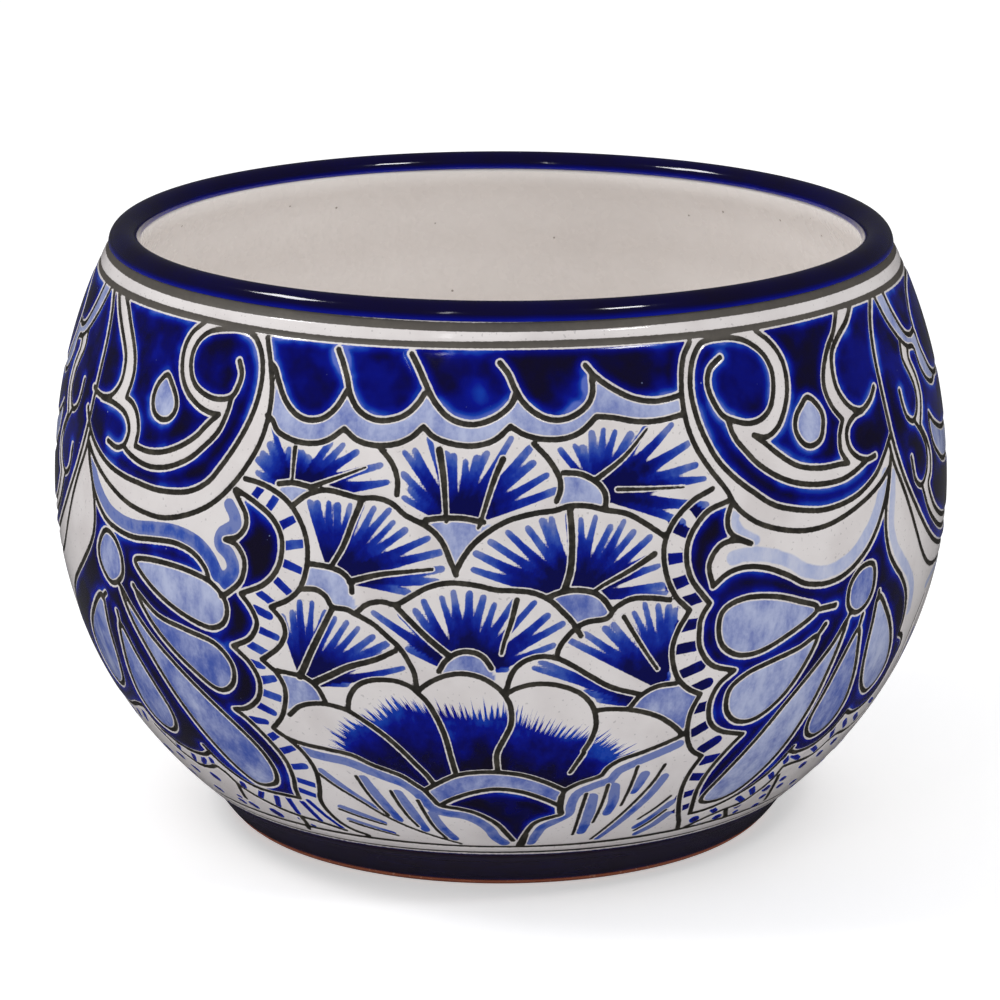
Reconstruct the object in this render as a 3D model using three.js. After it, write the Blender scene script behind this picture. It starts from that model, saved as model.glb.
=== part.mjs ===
// A squat, wide-mouthed talavera bowl vase. The fired clay is a bellied pot with a coil rolled
// along its mouth and a ring turned under its floor, and four coats of glaze cover it: a painted
// coat outside, a plain lining inside, and bands on the rim and on the foot.
// Millimetres, +Z up, standing on Z = 0 with its axis on the Z axis.
import * as THREE from 'three';

// Overall form, measured over the glaze.
const HEIGHT = 181;            // table to top of rim
const BELLY_DIAMETER = 270;    // across the widest part
const BELLY_HEIGHT = 102;      // table to the widest part
const MOUTH_DIAMETER = 216;    // clear opening inside the rim
const RIM_WIDTH = 9.4;         // across the rolled rim
const RIM_CROWN = 5;           // height of the rounded top of the rim
const RIM_SIDE = 0.4;          // height of the rim's straight side, under the crown
const UPPER_TURN = 30;         // degrees of elliptic arc from the belly up to the rim
const LOWER_TURN = 46;         // degrees of elliptic arc from the belly down to the foot
const FOOT_DIAMETER = 165;     // where the foot meets the table
const FOOT_HEIGHT = 12.9;      // table to the lower edge of the painted wall
const FOOT_FLARE = 9.1;        // how much the foot's radius grows from bottom to top
const FOOT_STEP = 2.3;         // how far the wall overhangs the top of the foot

// Clay and glaze.
const CLAY_WALL = 7.5;         // thickness of the fired wall
const CLAY_FLOOR = 8;          // thickness of the fired floor
const FOOT_RING_WIDTH = 14;    // flat width of clay that the pot rests on
const BASE_RECESS = 10;        // table to the underside of the floor
const FLOOR_BEND = 12;         // run of the bend between floor and wall, along the floor
const FLOOR_TURN = 38;         // degrees of arc, below the belly, where that bend begins
const GLAZE = 0.7;             // thickness of each coat
const FIT = 0.3;               // clearance between one piece and the next
const BARE_EDGE = 1.4;         // unglazed clay left at the bottom of the foot

// Fineness.
const SIDES = 48;              // facets around the axis
const LOWER_STEPS = 8;         // facets along the wall, foot to belly
const UPPER_STEPS = 6;         // facets along the wall, belly to rim
const BEND_STEPS = 4;          // facets in the bend at the floor
const CROWN_STEPS = 8;         // facets over the top of the rim

// Places worked out from the sizes above.
const NECK_Z = HEIGHT - RIM_CROWN - RIM_SIDE;
const BELLY_R = BELLY_DIAMETER / 2;
const MOUTH_R = MOUTH_DIAMETER / 2;
const FOOT_R = FOOT_DIAMETER / 2;
const RIM_MID_R = MOUTH_R + RIM_WIDTH / 2;
const NECK_R = MOUTH_R + RIM_WIDTH;
const FOOT_TOP_R = FOOT_R + FOOT_FLARE;
const WALL_BOTTOM_R = FOOT_TOP_R + FOOT_STEP;
const COAT = GLAZE + FIT;
const LINING_BACK = COAT + CLAY_WALL + FIT;
const LINING_FACE = LINING_BACK + GLAZE;

const materials = {
  terracotta: new THREE.MeshStandardMaterial({ color: 0xb5684a, roughness: 0.85, metalness: 0 }),
  paintedWhite: new THREE.MeshStandardMaterial({ color: 0x3f51b0, roughness: 0.2, metalness: 0 }),
  liningWhite: new THREE.MeshStandardMaterial({ color: 0xd8d0cc, roughness: 0.3, metalness: 0 }),
  cobalt: new THREE.MeshStandardMaterial({ color: 0x0d0d50, roughness: 0.12, metalness: 0 }),
};

// A point of the wall's section. The wall is an elliptic arc above its widest part and another
// below it; `turn` is the angle along the arc, positive upwards, and `depth` goes straight into
// the wall from its glazed face.
function wallPoint(turn, depth) {
  const upper = turn > 0;
  const end = THREE.MathUtils.degToRad(upper ? UPPER_TURN : LOWER_TURN);
  const endR = upper ? NECK_R : WALL_BOTTOM_R;
  const endZ = upper ? NECK_Z : FOOT_HEIGHT;
  const angle = THREE.MathUtils.degToRad(Math.abs(turn));
  const radialAxis = (BELLY_R - endR) / (1 - Math.cos(end));
  const heightAxis = (endZ - BELLY_HEIGHT) / Math.sin(end);
  const r = BELLY_R - radialAxis * (1 - Math.cos(angle));
  const z = BELLY_HEIGHT + heightAxis * Math.sin(angle);
  const normal = new THREE.Vector2(Math.abs(heightAxis) * Math.cos(angle),
    Math.sign(heightAxis) * radialAxis * Math.sin(angle)).normalize();
  return new THREE.Vector2(r, z).addScaledVector(normal, -depth);
}

// The wall at one depth, from `lowTurn` degrees below the belly up to the rim.
function wallCurve(depth, lowTurn = LOWER_TURN) {
  const points = [];
  for (let i = LOWER_STEPS; i > 0; i -= 1) {
    points.push(wallPoint(-lowTurn * i / LOWER_STEPS, depth));
  }
  for (let i = 0; i <= UPPER_STEPS; i += 1) {
    points.push(wallPoint(UPPER_TURN * i / UPPER_STEPS, depth));
  }
  return points;
}

// The inside of the pot at one depth, from the middle of the floor, round the bend and up the
// wall. `floorZ` is the height of the floor there.
function insideCurve(depth, floorZ) {
  const wall = wallCurve(depth, FLOOR_TURN);
  const [low, next] = wall;
  const slope = (next.x - low.x) / (next.y - low.y);
  const corner = new THREE.Vector2(low.x - slope * (low.y - floorZ), floorZ);
  const start = new THREE.Vector2(corner.x - FLOOR_BEND, floorZ);
  const bend = new THREE.QuadraticBezierCurve(start, corner, low).getPoints(BEND_STEPS);
  return [new THREE.Vector2(0, floorZ), ...bend, ...wall.slice(1)];
}

// The rounded top of the rim, from the outside over to the inside, `depth` under its glaze.
function rimCrown(depth) {
  const halfWidth = RIM_WIDTH / 2 - depth;
  const rise = RIM_CROWN - depth;
  const points = [];
  for (let i = 0; i <= CROWN_STEPS; i += 1) {
    const angle = Math.PI * i / CROWN_STEPS;
    points.push(new THREE.Vector2(RIM_MID_R + halfWidth * Math.cos(angle),
      HEIGHT - RIM_CROWN + rise * Math.sin(angle)));
  }
  return points;
}

// Radius of the foot's flared face at a height, `depth` under its glaze.
function footFace(z, depth) {
  const slope = FOOT_FLARE / FOOT_HEIGHT;
  return FOOT_R + slope * z - depth * Math.hypot(1, slope);
}

function point(r, z) {
  return new THREE.Vector2(r, z);
}

// Turns a section about the Z axis. The section runs anticlockwise with r across and z up; one
// that starts away from the axis is closed on itself.
function turned(name, section, material) {
  const profile = section[0].x === 0 ? section : [...section, section[0].clone()];
  const geometry = new THREE.LatheGeometry(profile, SIDES);
  geometry.rotateX(Math.PI / 2);
  const mesh = new THREE.Mesh(geometry, material);
  mesh.name = name;
  return mesh;
}

// The bellied wall and its floor. The floor drops into the foot ring, and the lower end of the
// wall rests on top of it.
function clayBody() {
  const outside = wallCurve(COAT);
  const inside = insideCurve(COAT + CLAY_WALL, BASE_RECESS + CLAY_FLOOR).reverse();
  const plugR = FOOT_R - FOOT_RING_WIDTH - FIT;
  const topZ = NECK_Z - FIT;
  const section = [
    point(0, BASE_RECESS),
    point(plugR, BASE_RECESS),
    point(plugR, FOOT_HEIGHT),
    point(footFace(FOOT_HEIGHT, COAT), FOOT_HEIGHT),
    ...outside,
    point(outside.at(-1).x, topZ),
    point(MOUTH_R + COAT, topZ),
    ...inside,
  ];
  return turned('clay_body', section, materials.terracotta);
}

// The flared ring that the pot stands on. Its face is cut back above the bare edge to take the
// cobalt band.
function footRing() {
  const innerR = FOOT_R - FOOT_RING_WIDTH;
  const topZ = FOOT_HEIGHT - FIT;
  const section = [
    point(innerR, 0),
    point(FOOT_R, 0),
    point(footFace(BARE_EDGE, 0), BARE_EDGE),
    point(footFace(BARE_EDGE, COAT), BARE_EDGE),
    point(footFace(topZ, COAT), topZ),
    point(innerR, topZ),
  ];
  return turned('foot_ring', section, materials.terracotta);
}

// The coil along the mouth, flat where it sits on the wall and rounded on top.
function rimRoll() {
  const section = [
    point(RIM_MID_R - RIM_WIDTH / 2 + COAT, NECK_Z),
    point(RIM_MID_R + RIM_WIDTH / 2 - COAT, NECK_Z),
    ...rimCrown(COAT),
  ];
  return turned('rim_roll', section, materials.terracotta);
}

// The painted coat on the outside of the wall.
function outerGlaze() {
  const section = [...wallCurve(0), ...wallCurve(GLAZE).reverse()];
  return turned('outer_glaze', section, materials.paintedWhite);
}

// The plain lining of the wall and floor. It ends straight up the inside of the mouth.
function innerGlaze() {
  const faceZ = BASE_RECESS + CLAY_FLOOR + FIT + GLAZE;
  const endZ = NECK_Z - FIT;
  const section = [
    ...insideCurve(LINING_BACK, faceZ - GLAZE),
    point(MOUTH_R + GLAZE, endZ),
    point(MOUTH_R, endZ),
    ...insideCurve(LINING_FACE, faceZ).reverse(),
  ];
  return turned('inner_glaze', section, materials.liningWhite);
}

// The cobalt coat over the rim, down both of its sides.
function rimGlaze() {
  const skirtZ = NECK_Z + FIT;
  const section = [
    point(RIM_MID_R + RIM_WIDTH / 2 - GLAZE, skirtZ),
    point(RIM_MID_R + RIM_WIDTH / 2, skirtZ),
    ...rimCrown(0),
    point(RIM_MID_R - RIM_WIDTH / 2, skirtZ),
    point(RIM_MID_R - RIM_WIDTH / 2 + GLAZE, skirtZ),
    ...rimCrown(GLAZE).reverse(),
  ];
  return turned('rim_glaze', section, materials.cobalt);
}

// The cobalt band on the flared face of the foot, above the bare edge.
function footGlaze() {
  const lowZ = BARE_EDGE + FIT;
  const highZ = FOOT_HEIGHT - FIT;
  const section = [
    point(footFace(lowZ, GLAZE), lowZ),
    point(footFace(lowZ, 0), lowZ),
    point(footFace(highZ, 0), highZ),
    point(footFace(highZ, GLAZE), highZ),
  ];
  return turned('foot_glaze', section, materials.cobalt);
}

const vase = new THREE.Group();
vase.add(clayBody(), footRing(), rimRoll());
vase.add(outerGlaze(), innerGlaze(), rimGlaze(), footGlaze());

export default vase;
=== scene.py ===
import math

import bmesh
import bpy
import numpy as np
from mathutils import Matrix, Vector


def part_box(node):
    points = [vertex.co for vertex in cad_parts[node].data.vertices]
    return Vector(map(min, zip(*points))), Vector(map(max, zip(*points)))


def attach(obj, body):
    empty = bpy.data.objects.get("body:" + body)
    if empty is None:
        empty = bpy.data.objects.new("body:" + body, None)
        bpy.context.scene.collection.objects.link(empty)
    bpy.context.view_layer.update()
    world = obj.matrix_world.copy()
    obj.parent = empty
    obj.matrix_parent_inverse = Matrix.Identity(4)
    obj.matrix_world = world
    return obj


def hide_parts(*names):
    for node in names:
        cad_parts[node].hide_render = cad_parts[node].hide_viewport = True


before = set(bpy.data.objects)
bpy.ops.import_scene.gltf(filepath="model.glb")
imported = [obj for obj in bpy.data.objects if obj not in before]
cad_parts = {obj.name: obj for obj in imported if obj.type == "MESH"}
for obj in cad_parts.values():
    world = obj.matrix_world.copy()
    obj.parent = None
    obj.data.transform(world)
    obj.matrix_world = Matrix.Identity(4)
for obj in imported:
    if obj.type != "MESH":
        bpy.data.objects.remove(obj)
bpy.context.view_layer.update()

# The looks of a squat, wide-mouthed talavera bowl vase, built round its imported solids.
#
# The wall carries a painting in cobalt, pale wash and dark outlines on a white glaze. The painting
# is laid out in millimetres on a grid over the wall, pressed into the glaze as a slight relief, and
# coloured by node materials. The lip, lining, foot band and fired clay are turned pieces.

# ---------------------------------------------------------------- sizes, in millimetres
MM = 0.001

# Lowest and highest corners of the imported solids.
WALL_LOW, WALL_HIGH = (np.array(c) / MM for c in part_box("outer_glaze"))
LIP_HIGH = np.array(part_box("rim_glaze")[1]) / MM
LINING_LOW = np.array(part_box("inner_glaze")[0]) / MM
RING_HIGH = np.array(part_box("foot_ring")[1]) / MM
CLAY_LOW = np.array(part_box("clay_body")[0]) / MM

HEIGHT = LIP_HIGH[2]            # table to the top of the lip
BELLY_R = WALL_HIGH[0]          # widest radius
NECK_R = LIP_HIGH[0]            # radius where the wall meets the lip
NECK_Z = WALL_HIGH[2]
WALL_Z = WALL_LOW[2]            # lower edge of the painted wall
BELLY_Z = 102.0                 # height of the widest part
UPPER_TURN = math.radians(30)   # elliptic arc from the belly up to the lip
LOWER_TURN = math.radians(46)   # elliptic arc from the belly down to the foot
FLOOR_TURN = math.radians(38)   # where the bend to the floor begins inside
FLOOR_BEND = 12.0               # run of that bend, along the floor
GLAZE = 0.7                     # thickness of a coat of glaze
FIT = 0.3                       # clearance between the pieces
CLAY_WALL = 7.5                 # thickness of the fired wall
LIP_WIDTH = 9.4                 # across the rolled lip
LIP_CROWN = 5.0                 # height of its rounded top
FOOT_R = 82.5                   # where the foot meets the table
FOOT_FLARE = 9.1                # how much the foot's radius grows from bottom to top
FOOT_STEP = 2.3                 # how far the wall overhangs the top of the foot
FOOT_RING_WIDTH = 14.0          # flat width of clay that the pot rests on
BARE_EDGE = 1.4                 # unglazed clay at the bottom of the foot
WALL_R = FOOT_R + FOOT_FLARE + FOOT_STEP
LIP_R = NECK_R - LIP_WIDTH / 2  # middle of the lip
MOUTH_R = NECK_R - LIP_WIDTH
BASE_Z = CLAY_LOW[2]            # underside of the floor
FLOOR_Z = LINING_LOW[2] + GLAZE

# The grid over the wall, and the relief of what is painted on it.
COLUMNS = 1360                  # round the pot
ROWS = 290                      # up the wall
SKIN = 0.3                      # how far the plain glaze lies inside the widest line of the wall
GROOVE = 0.26                   # depth of an outline
COBALT_RISE = 0.2               # how far thick cobalt stands over the white glaze
SWELL = 0.1                     # slow waviness of the thrown wall
TUCK = 0.45                     # how far the top of the coat draws in under the lip
TUCK_RISE = 0.9                 # how far it runs up behind it
BELLY_S = 118.8                 # the widest part, as a length up the wall's section


# ---------------------------------------------------------------- section of the wall

def wall_point(turn, depth=0.0):
    """Radius and height of the wall at an angle along its arc, `depth` into the wall."""
    end = UPPER_TURN if turn > 0 else LOWER_TURN
    end_r, end_z = (NECK_R, NECK_Z) if turn > 0 else (WALL_R, WALL_Z)
    across = (BELLY_R - end_r) / (1 - math.cos(end))
    up = (end_z - BELLY_Z) / math.sin(end)
    angle = abs(turn)
    r = BELLY_R - across * (1 - math.cos(angle))
    z = BELLY_Z + up * math.sin(angle)
    normal = np.array([abs(up) * math.cos(angle), math.copysign(across, up) * math.sin(angle)])
    normal /= np.linalg.norm(normal)
    return np.array([r, z]) - depth * normal


def wall_section(depth=0.0, low_turn=LOWER_TURN, steps=240):
    """Points up the wall at one depth, from below the belly to the lip."""
    turns = np.linspace(-low_turn, UPPER_TURN, steps)
    return np.array([wall_point(t, depth) for t in turns])


SECTION = wall_section(steps=1200)
SECTION_S = np.concatenate([[0], np.cumsum(np.hypot(*np.diff(SECTION, axis=0).T))])
SECTION_S += BELLY_S - np.interp(BELLY_Z, SECTION[:, 1], SECTION_S)
HEIGHTS = np.linspace(SECTION_S[0], SECTION_S[-1], ROWS + 1)
TURNS = -180 + np.arange(COLUMNS) * 360 / COLUMNS
MM_PER_DEG = np.radians(np.interp(HEIGHTS, SECTION_S, SECTION[:, 0]))
BELLY_MM_PER_DEG = math.radians(BELLY_R)


# ---------------------------------------------------------------- drawing on the wall
# A place on the wall is (a, s): degrees round the pot from its front, positive to the right, and
# millimetres up along the wall's section. Every distance and width below is in millimetres.

PITCH = 1.0                     # spacing of the points along a drawn path
REACH = 5.0                     # how far from a path its distance is worked out
LINE = 0.8                      # half width of an outline
CLOSE = 0.3                     # a cell ends where it comes this near to an outline
UNDER = 8                       # grid steps that a filled cell runs on under its outline
PLAIN, COBALT, WASH, DEEP, PETAL, FAN = 1, 2, 3, 4, 5, 6    # labels of cells; fans count on from FAN
rng = np.random.default_rng(7)


def smooth(points, closed=False):
    """A path through given points: a Catmull-Rom curve with a step about every PITCH."""
    p = np.array(points, float)
    if closed:
        p = np.vstack([p[-1], p, p[0], p[1]])
    else:
        p = np.vstack([2 * p[0] - p[1], p, 2 * p[-1] - p[-2]])
    out = []
    for before, start, end, after in zip(p[:-3], p[1:-2], p[2:-1], p[3:]):
        length = math.hypot((end[0] - start[0]) * BELLY_MM_PER_DEG, end[1] - start[1])
        t = np.linspace(0, 1, max(2, int(length / PITCH)), endpoint=False)[:, None]
        out.append(0.5 * (2 * start + (end - before) * t
                          + (2 * before - 5 * start + 4 * end - after) * t ** 2
                          + (3 * start - before - 3 * end + after) * t ** 3))
    out.append(p[-2][None, :])
    return np.vstack(out)


def turned_by(points, turn, mirror=False):
    """The same points elsewhere round the pot. A mirrored copy swaps left and right about 0."""
    p = np.array(points, float)
    if mirror:
        p[:, 0] = -p[:, 0]
    p[:, 0] += turn
    return p


class Canvas:
    """The grid over the wall, which holds the distance to the nearest edge of each kind of mark."""

    def __init__(self):
        self.shape = (len(HEIGHTS), COLUMNS)
        self.step = TURNS[1] - TURNS[0]
        self.rise = HEIGHTS[1] - HEIGHTS[0]
        self.outline = self.blank()
        self.brush = self.blank()
        self.cobalt = self.blank()
        self.pale = self.blank()
        self.soak = np.zeros(self.shape)

    def blank(self):
        """A field with nothing drawn near any place."""
        return np.full(self.shape, REACH)

    def draw(self, field, path, start_half, end_half=None, only=None, soak=None):
        """Lays a path with round ends into a field. Its half width runs from start to end, and so
        does how thickly the brush leaves its glaze, where `soak` gives that."""
        end_half = start_half if end_half is None else end_half
        halves = np.linspace(start_half, end_half, len(path))
        wets = np.linspace(*soak, len(path)) if soak else None
        for n in range(len(path) - 1):
            (a0, s0), (a1, s1) = path[n], path[n + 1]
            low, high = sorted((s0, s1))
            pad = REACH + max(halves[n], halves[n + 1])
            i0 = max(0, int((low - pad - HEIGHTS[0]) / self.rise))
            i1 = min(self.shape[0], int((high + pad - HEIGHTS[0]) / self.rise) + 2)
            if i0 >= i1:
                continue
            mm = MM_PER_DEG[min(max(int(((s0 + s1) / 2 - HEIGHTS[0]) / self.rise), 0), ROWS)]
            left, right = sorted((a0, a1))
            j = np.arange(math.floor((left - pad / mm - TURNS[0]) / self.step),
                          math.ceil((right + pad / mm - TURNS[0]) / self.step) + 1)
            cols = j % COLUMNS
            dx = (TURNS[0] + j * self.step - a0)[None, :] * mm
            dy = (HEIGHTS[i0:i1] - s0)[:, None]
            bx, by = (a1 - a0) * mm, s1 - s0
            t = np.clip((dx * bx + dy * by) / max(bx * bx + by * by, 1e-9), 0, 1)
            d = np.hypot(dx - t * bx, dy - t * by) - halves[n] - (halves[n + 1] - halves[n]) * t
            patch = field[i0:i1, cols]
            better = d < patch
            if only is not None:
                better &= only[i0:i1, cols]
            field[i0:i1, cols] = np.where(better, d, patch)
            if soak:
                wet = wets[n] + (wets[n + 1] - wets[n]) * t
                self.soak[i0:i1, cols] = np.where(better, wet, self.soak[i0:i1, cols])

    def locate(self, a, s):
        """Row and column of the grid at a place."""
        j = int(round((a - TURNS[0]) / self.step)) % COLUMNS
        i = int(round((s - HEIGHTS[0]) / self.rise))
        return min(max(i, 0), ROWS), j


def ring(height, half):
    """A band right round the pot, slightly wavy as a brush held to a turning pot leaves it."""
    a = np.radians(TURNS)
    middle = height + RING_WAVE * (np.sin(3 * a + height) + 0.6 * np.sin(7 * a + 2 * height))
    width = half * (1 + 0.12 * np.sin(5 * a + height))
    return np.abs(HEIGHTS[:, None] - middle) - width


def spread(label, allowed, rounds=None):
    """Grows labels into the empty cells that are allowed, all round the pot."""
    count = 0
    while rounds is None or count < rounds:
        grown = np.zeros_like(label)
        for shifted in (np.roll(label, 1, 1), np.roll(label, -1, 1),
                        np.vstack([label[1:], label[-1:]]), np.vstack([label[:1], label[:-1]])):
            grown = np.where(grown == 0, shifted, grown)
        change = (label == 0) & allowed & (grown > 0)
        if not change.any():
            break
        label = np.where(change, grown, label)
        count += 1
    return label


def flood(closed, seeds):
    """Fills each cell between the outlines from its seeds. Cells with no seed are PLAIN."""
    label = np.zeros(closed.shape, np.int16)
    for (i, j), value in seeds:
        label[i, j] = value
    label = spread(label, ~closed)
    label[(label == 0) & ~closed] = PLAIN
    return spread(label, closed, UNDER)


def soften(field):
    """Closes hair-thin gaps in a field by averaging each place with its neighbours."""
    field = (np.roll(field, 1, 1) + 2 * field + np.roll(field, -1, 1)) / 4
    padded = np.pad(field, ((1, 1), (0, 0)), "edge")
    return (padded[:-2] + 2 * padded[1:-1] + padded[2:]) / 4


# ---------------------------------------------------------------- the painting: what is drawn
# The front of the pot: a panel of fish-scale fans over an open shell, and a wing with a scroll
# above it on each side. Outlines go through the points given.

PANEL_LINES = [
    # hooked lobes of the cobalt band under the rim
    [(-31, 180), (-30.2, 178.6), (-29.3, 175), (-28, 170.4), (-26.3, 167), (-24.4, 165.7),
     (-22.4, 166.7), (-20.8, 170), (-19.6, 175)],
    [(-21.6, 186), (-20.7, 182.5), (-19.8, 178), (-19.2, 174), (-18, 170), (-16.2, 167.7), (-14.2, 167.4),
     (-12, 169), (-10.5, 172), (-9.5, 175.5)],
    [(-11.6, 186.2), (-10.6, 182.6), (-9.5, 178), (-8.2, 173), (-6.3, 168.8), (-4, 167.2), (-2, 167.8),
     (0, 170), (1.4, 173), (1.9, 176)],
    [(-0.1, 184.2), (1, 181), (1.9, 176.5), (3.1, 172.5), (5, 169.3), (7, 168.2), (9, 169.2), (10.8, 172),
     (11.6, 175.5), (11.6, 179.5)],
    [(10.9, 183), (12, 180), (14, 176.5), (16.5, 173.4), (19, 172), (21, 172.1), (23.3, 173)],
    # scalloped lower edge of the pale band
    [(-30.3, 165.6), (-29.4, 164.4), (-28.4, 161.5), (-26, 159.6), (-23.5, 159.4), (-21.5, 160.8),
     (-19.5, 164.3)],
    [(-19.5, 164.3), (-17.8, 161.5), (-15.5, 160.4), (-13, 161), (-11, 163), (-9.5, 166.2)],
    [(-9.5, 166.2), (-8, 163.3), (-5.5, 161.6), (-3, 161.4), (-0.7, 163), (1.2, 166.7)],
    [(1.2, 166.7), (3, 164.3), (5.5, 163), (8, 163.2), (10, 165), (11.9, 168.8)],
    [(11.9, 168.8), (14, 168.2), (17, 166.7), (20, 166.5), (23.3, 167.6)],
    # upper row of fans
    [(-27.6, 147.2), (-25.6, 148), (-23.2, 147.4)],
    [(-14.9, 160.2), (-13.2, 156), (-12.4, 151.5), (-12.4, 147.2)],
    [(-8.9, 140.7), (-7, 141.3), (-4.5, 141.4), (-2, 140.4)],
    [(4, 162), (5.8, 157.5), (7, 152.5), (7.1, 149), (6.6, 146)],
    [(7.5, 153.8), (9.5, 153.3), (11.5, 150.8), (12.5, 147.5), (12.5, 144)],
    # middle row
    [(-25.4, 142), (-23.6, 145.2), (-21.4, 147), (-19, 146.4), (-17, 145.6), (-15, 146), (-13, 144.8),
     (-11.3, 141.7), (-9.5, 139.8), (-7.9, 137.5), (-6.7, 134), (-5.9, 129.5), (-5.2, 125.6)],
    [(-5.2, 126.6), (-4.5, 130), (-3.3, 134), (-1.5, 137.7), (1, 141), (4, 142.8), (6.5, 143.5),
     (8.2, 144.6), (10.5, 144.3), (12.5, 143), (15, 141.7), (17.2, 138.7), (19.6, 134.6)],
    [(-23.1, 126), (-20.6, 125.6), (-19, 124.5), (-17.9, 122), (-17.7, 119)],
    [(5.3, 119), (7, 120.5), (9, 121), (11, 120), (12.2, 117.8), (13, 115)],
    # lower row
    [(-24, 118.4), (-22.3, 118.7), (-21, 117), (-20.2, 114.2), (-18.5, 113.9), (-17.3, 112.7),
     (-15.2, 110.3), (-13.6, 107.1), (-12, 103.5), (-11, 99.5), (-10.4, 96), (-10.2, 91.5)],
    [(-17.3, 113), (-15.8, 116), (-14, 117), (-12.4, 116.4), (-10.5, 119), (-8.5, 121.8), (-6, 123.3),
     (-3, 122.8), (-0.5, 121.5), (1.5, 121.3), (3.6, 120.7), (5.5, 118.8), (7, 115.6), (8.5, 111.6),
     (9.5, 107.6)],
    [(-7.4, 97), (-6.5, 100.5), (-5, 103), (-3.3, 103.2), (-2, 101.6), (-1.1, 98.3)],
    [(6.6, 101.2), (7, 104.7), (8.4, 109), (10, 111.5), (12.6, 112.4), (13.5, 115.2), (15.5, 117.5),
     (18, 117.3), (20.3, 116.2)],
    [(0.7, 91.5), (1.3, 96.5), (2.5, 100), (4.5, 101.8), (6.6, 101.2), (8.4, 99), (11, 94.8), (13.6, 91),
     (17.2, 88)],
    [(-28.4, 92.3), (-25.5, 91.8), (-24, 90.6), (-22.9, 88), (-22.2, 84)],
    [(16.2, 84), (17.4, 87.6), (19.4, 90), (22, 90.3)],
    # petals of the shell
    [(-27.8, 77.5), (-25.9, 81.3), (-23, 83.2), (-19.8, 82.3), (-17.4, 79), (-15, 74.5), (-13, 69.5),
     (-11.3, 64.2), (-10, 60), (-9.2, 56.4)],
    [(-19.3, 82.3), (-18.8, 87), (-17.5, 91), (-15.5, 93), (-13, 93.3), (-11.2, 92), (-10.2, 90),
     (-8.9, 86.5), (-7.8, 81), (-7, 75), (-6.5, 68), (-6, 61.2)],
    [(-10.2, 90.3), (-8.5, 93.5), (-6.5, 95.8), (-4.4, 96.5), (-2.3, 95.3), (-0.5, 92.5), (0.4, 90),
     (1.2, 86), (1.3, 80), (0.4, 74.5), (-0.5, 69), (-0.4, 62.3)],
    [(0.5, 90), (2.2, 92.2), (4.5, 93.3), (7, 92.6), (9.5, 90), (11, 86.5), (11.7, 83), (12, 78),
     (11.5, 73), (10.8, 69.5)],
    [(11.7, 83.7), (14, 83.7), (17, 82.5), (20, 79.7), (22.5, 75.5), (24.2, 71.5)],
    [(24.2, 71.5), (22, 69.4), (19, 66.9), (16, 64.6), (14.4, 61.8), (13.8, 59), (12.5, 57.6), (10.6, 56),
     (8.9, 53.3)],
    [(-31, 71.3), (-29.6, 69), (-27, 67.3), (-23, 66.4), (-20, 65.4), (-17.5, 62.5), (-15, 60.3),
     (-13.4, 58.7), (-12, 56), (-10.6, 53.2)],
    # heart of the shell
    [(-10.6, 53.2), (-8.6, 56.6), (-6, 60.3), (-3, 61.8), (0, 61.8), (3, 60.5), (6, 57.5), (8.9, 53.3)],
    [(-8.7, 46.6), (-7, 49.5), (-4.5, 52.5), (-2, 54.3), (0, 54.7), (3, 53.3), (6, 50), (8.4, 46.4)],
    [(-10.6, 53.2), (-9.7, 49.7), (-8.7, 46.4), (-6, 45.1), (-4, 43.6), (-2, 40.6), (-0.4, 37),
     (0.9, 32), (2, 27.6)],
    [(8.9, 53.3), (8.5, 49.3), (8.7, 45), (9, 42), (7.8, 40.8), (6, 39.2), (4.9, 37), (4.1, 33),
     (3.5, 28.5), (3, 24.5)],
]

# Thick or fine strokes of the dark outline colour: path, half width at its start and at its end.
PANEL_ACCENTS = [
    ([(-25.8, 157.8), (-25.8, 148.5)], 0.7, 0.4),
    ([(-16.4, 154.2), (-19, 151.6), (-23, 147.6)], 0.3, 0.75),
    ([(-7.4, 160), (-6.8, 152), (-6.4, 140.5)], 1.05, 0.6),
    ([(0.3, 157.8), (-0.8, 152), (-2.6, 138.8)], 0.9, 0.5),
    ([(18.2, 164.5), (15, 157.2), (11.5, 151.6)], 0.35, 0.8),
    ([(14, 148.5), (18, 148), (22.4, 147.6)], 0.6, 0.35),
    ([(-16.8, 144.4), (-17.7, 139), (-18.8, 132), (-20.3, 125.8)], 0.9, 0.7),
    ([(-8, 127), (-11, 126), (-14.5, 124.6), (-18, 122)], 0.5, 0.9),
    ([(8.2, 144.2), (8.4, 135), (8.2, 127), (7.5, 121.2)], 0.9, 1.0),
    ([(18.4, 129.8), (15.4, 125.8), (12.4, 122.4), (10.9, 120.3)], 0.9, 0.5),
    ([(-20.2, 113.8), (-21.7, 107), (-23.3, 100), (-24.5, 94.5), (-25.3, 91.4)], 0.85, 1.05),
    ([(-12.5, 102.8), (-15, 99.6), (-18.5, 96.5), (-21, 93.2), (-23.4, 90)], 0.8, 1.05),
    ([(-12.4, 116), (-10.5, 111.5), (-8.5, 106.8), (-6.3, 102.3)], 0.8, 0.95),
    ([(1.9, 118.6), (1.2, 112), (0.4, 106), (0.1, 102.8)], 0.85, 0.5),
    ([(14.6, 112.6), (16, 107), (17.6, 101), (19.2, 95.6)], 0.7, 0.5),
    ([(10.8, 68.4), (10.1, 65), (9.3, 61)], 0.75, 0.6),
    ([(8.6, 50.5), (8.6, 46), (8.8, 43)], 1.0, 1.0),
    ([(3.9, 31), (3.3, 25)], 1.0, 1.35),
]

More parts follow.
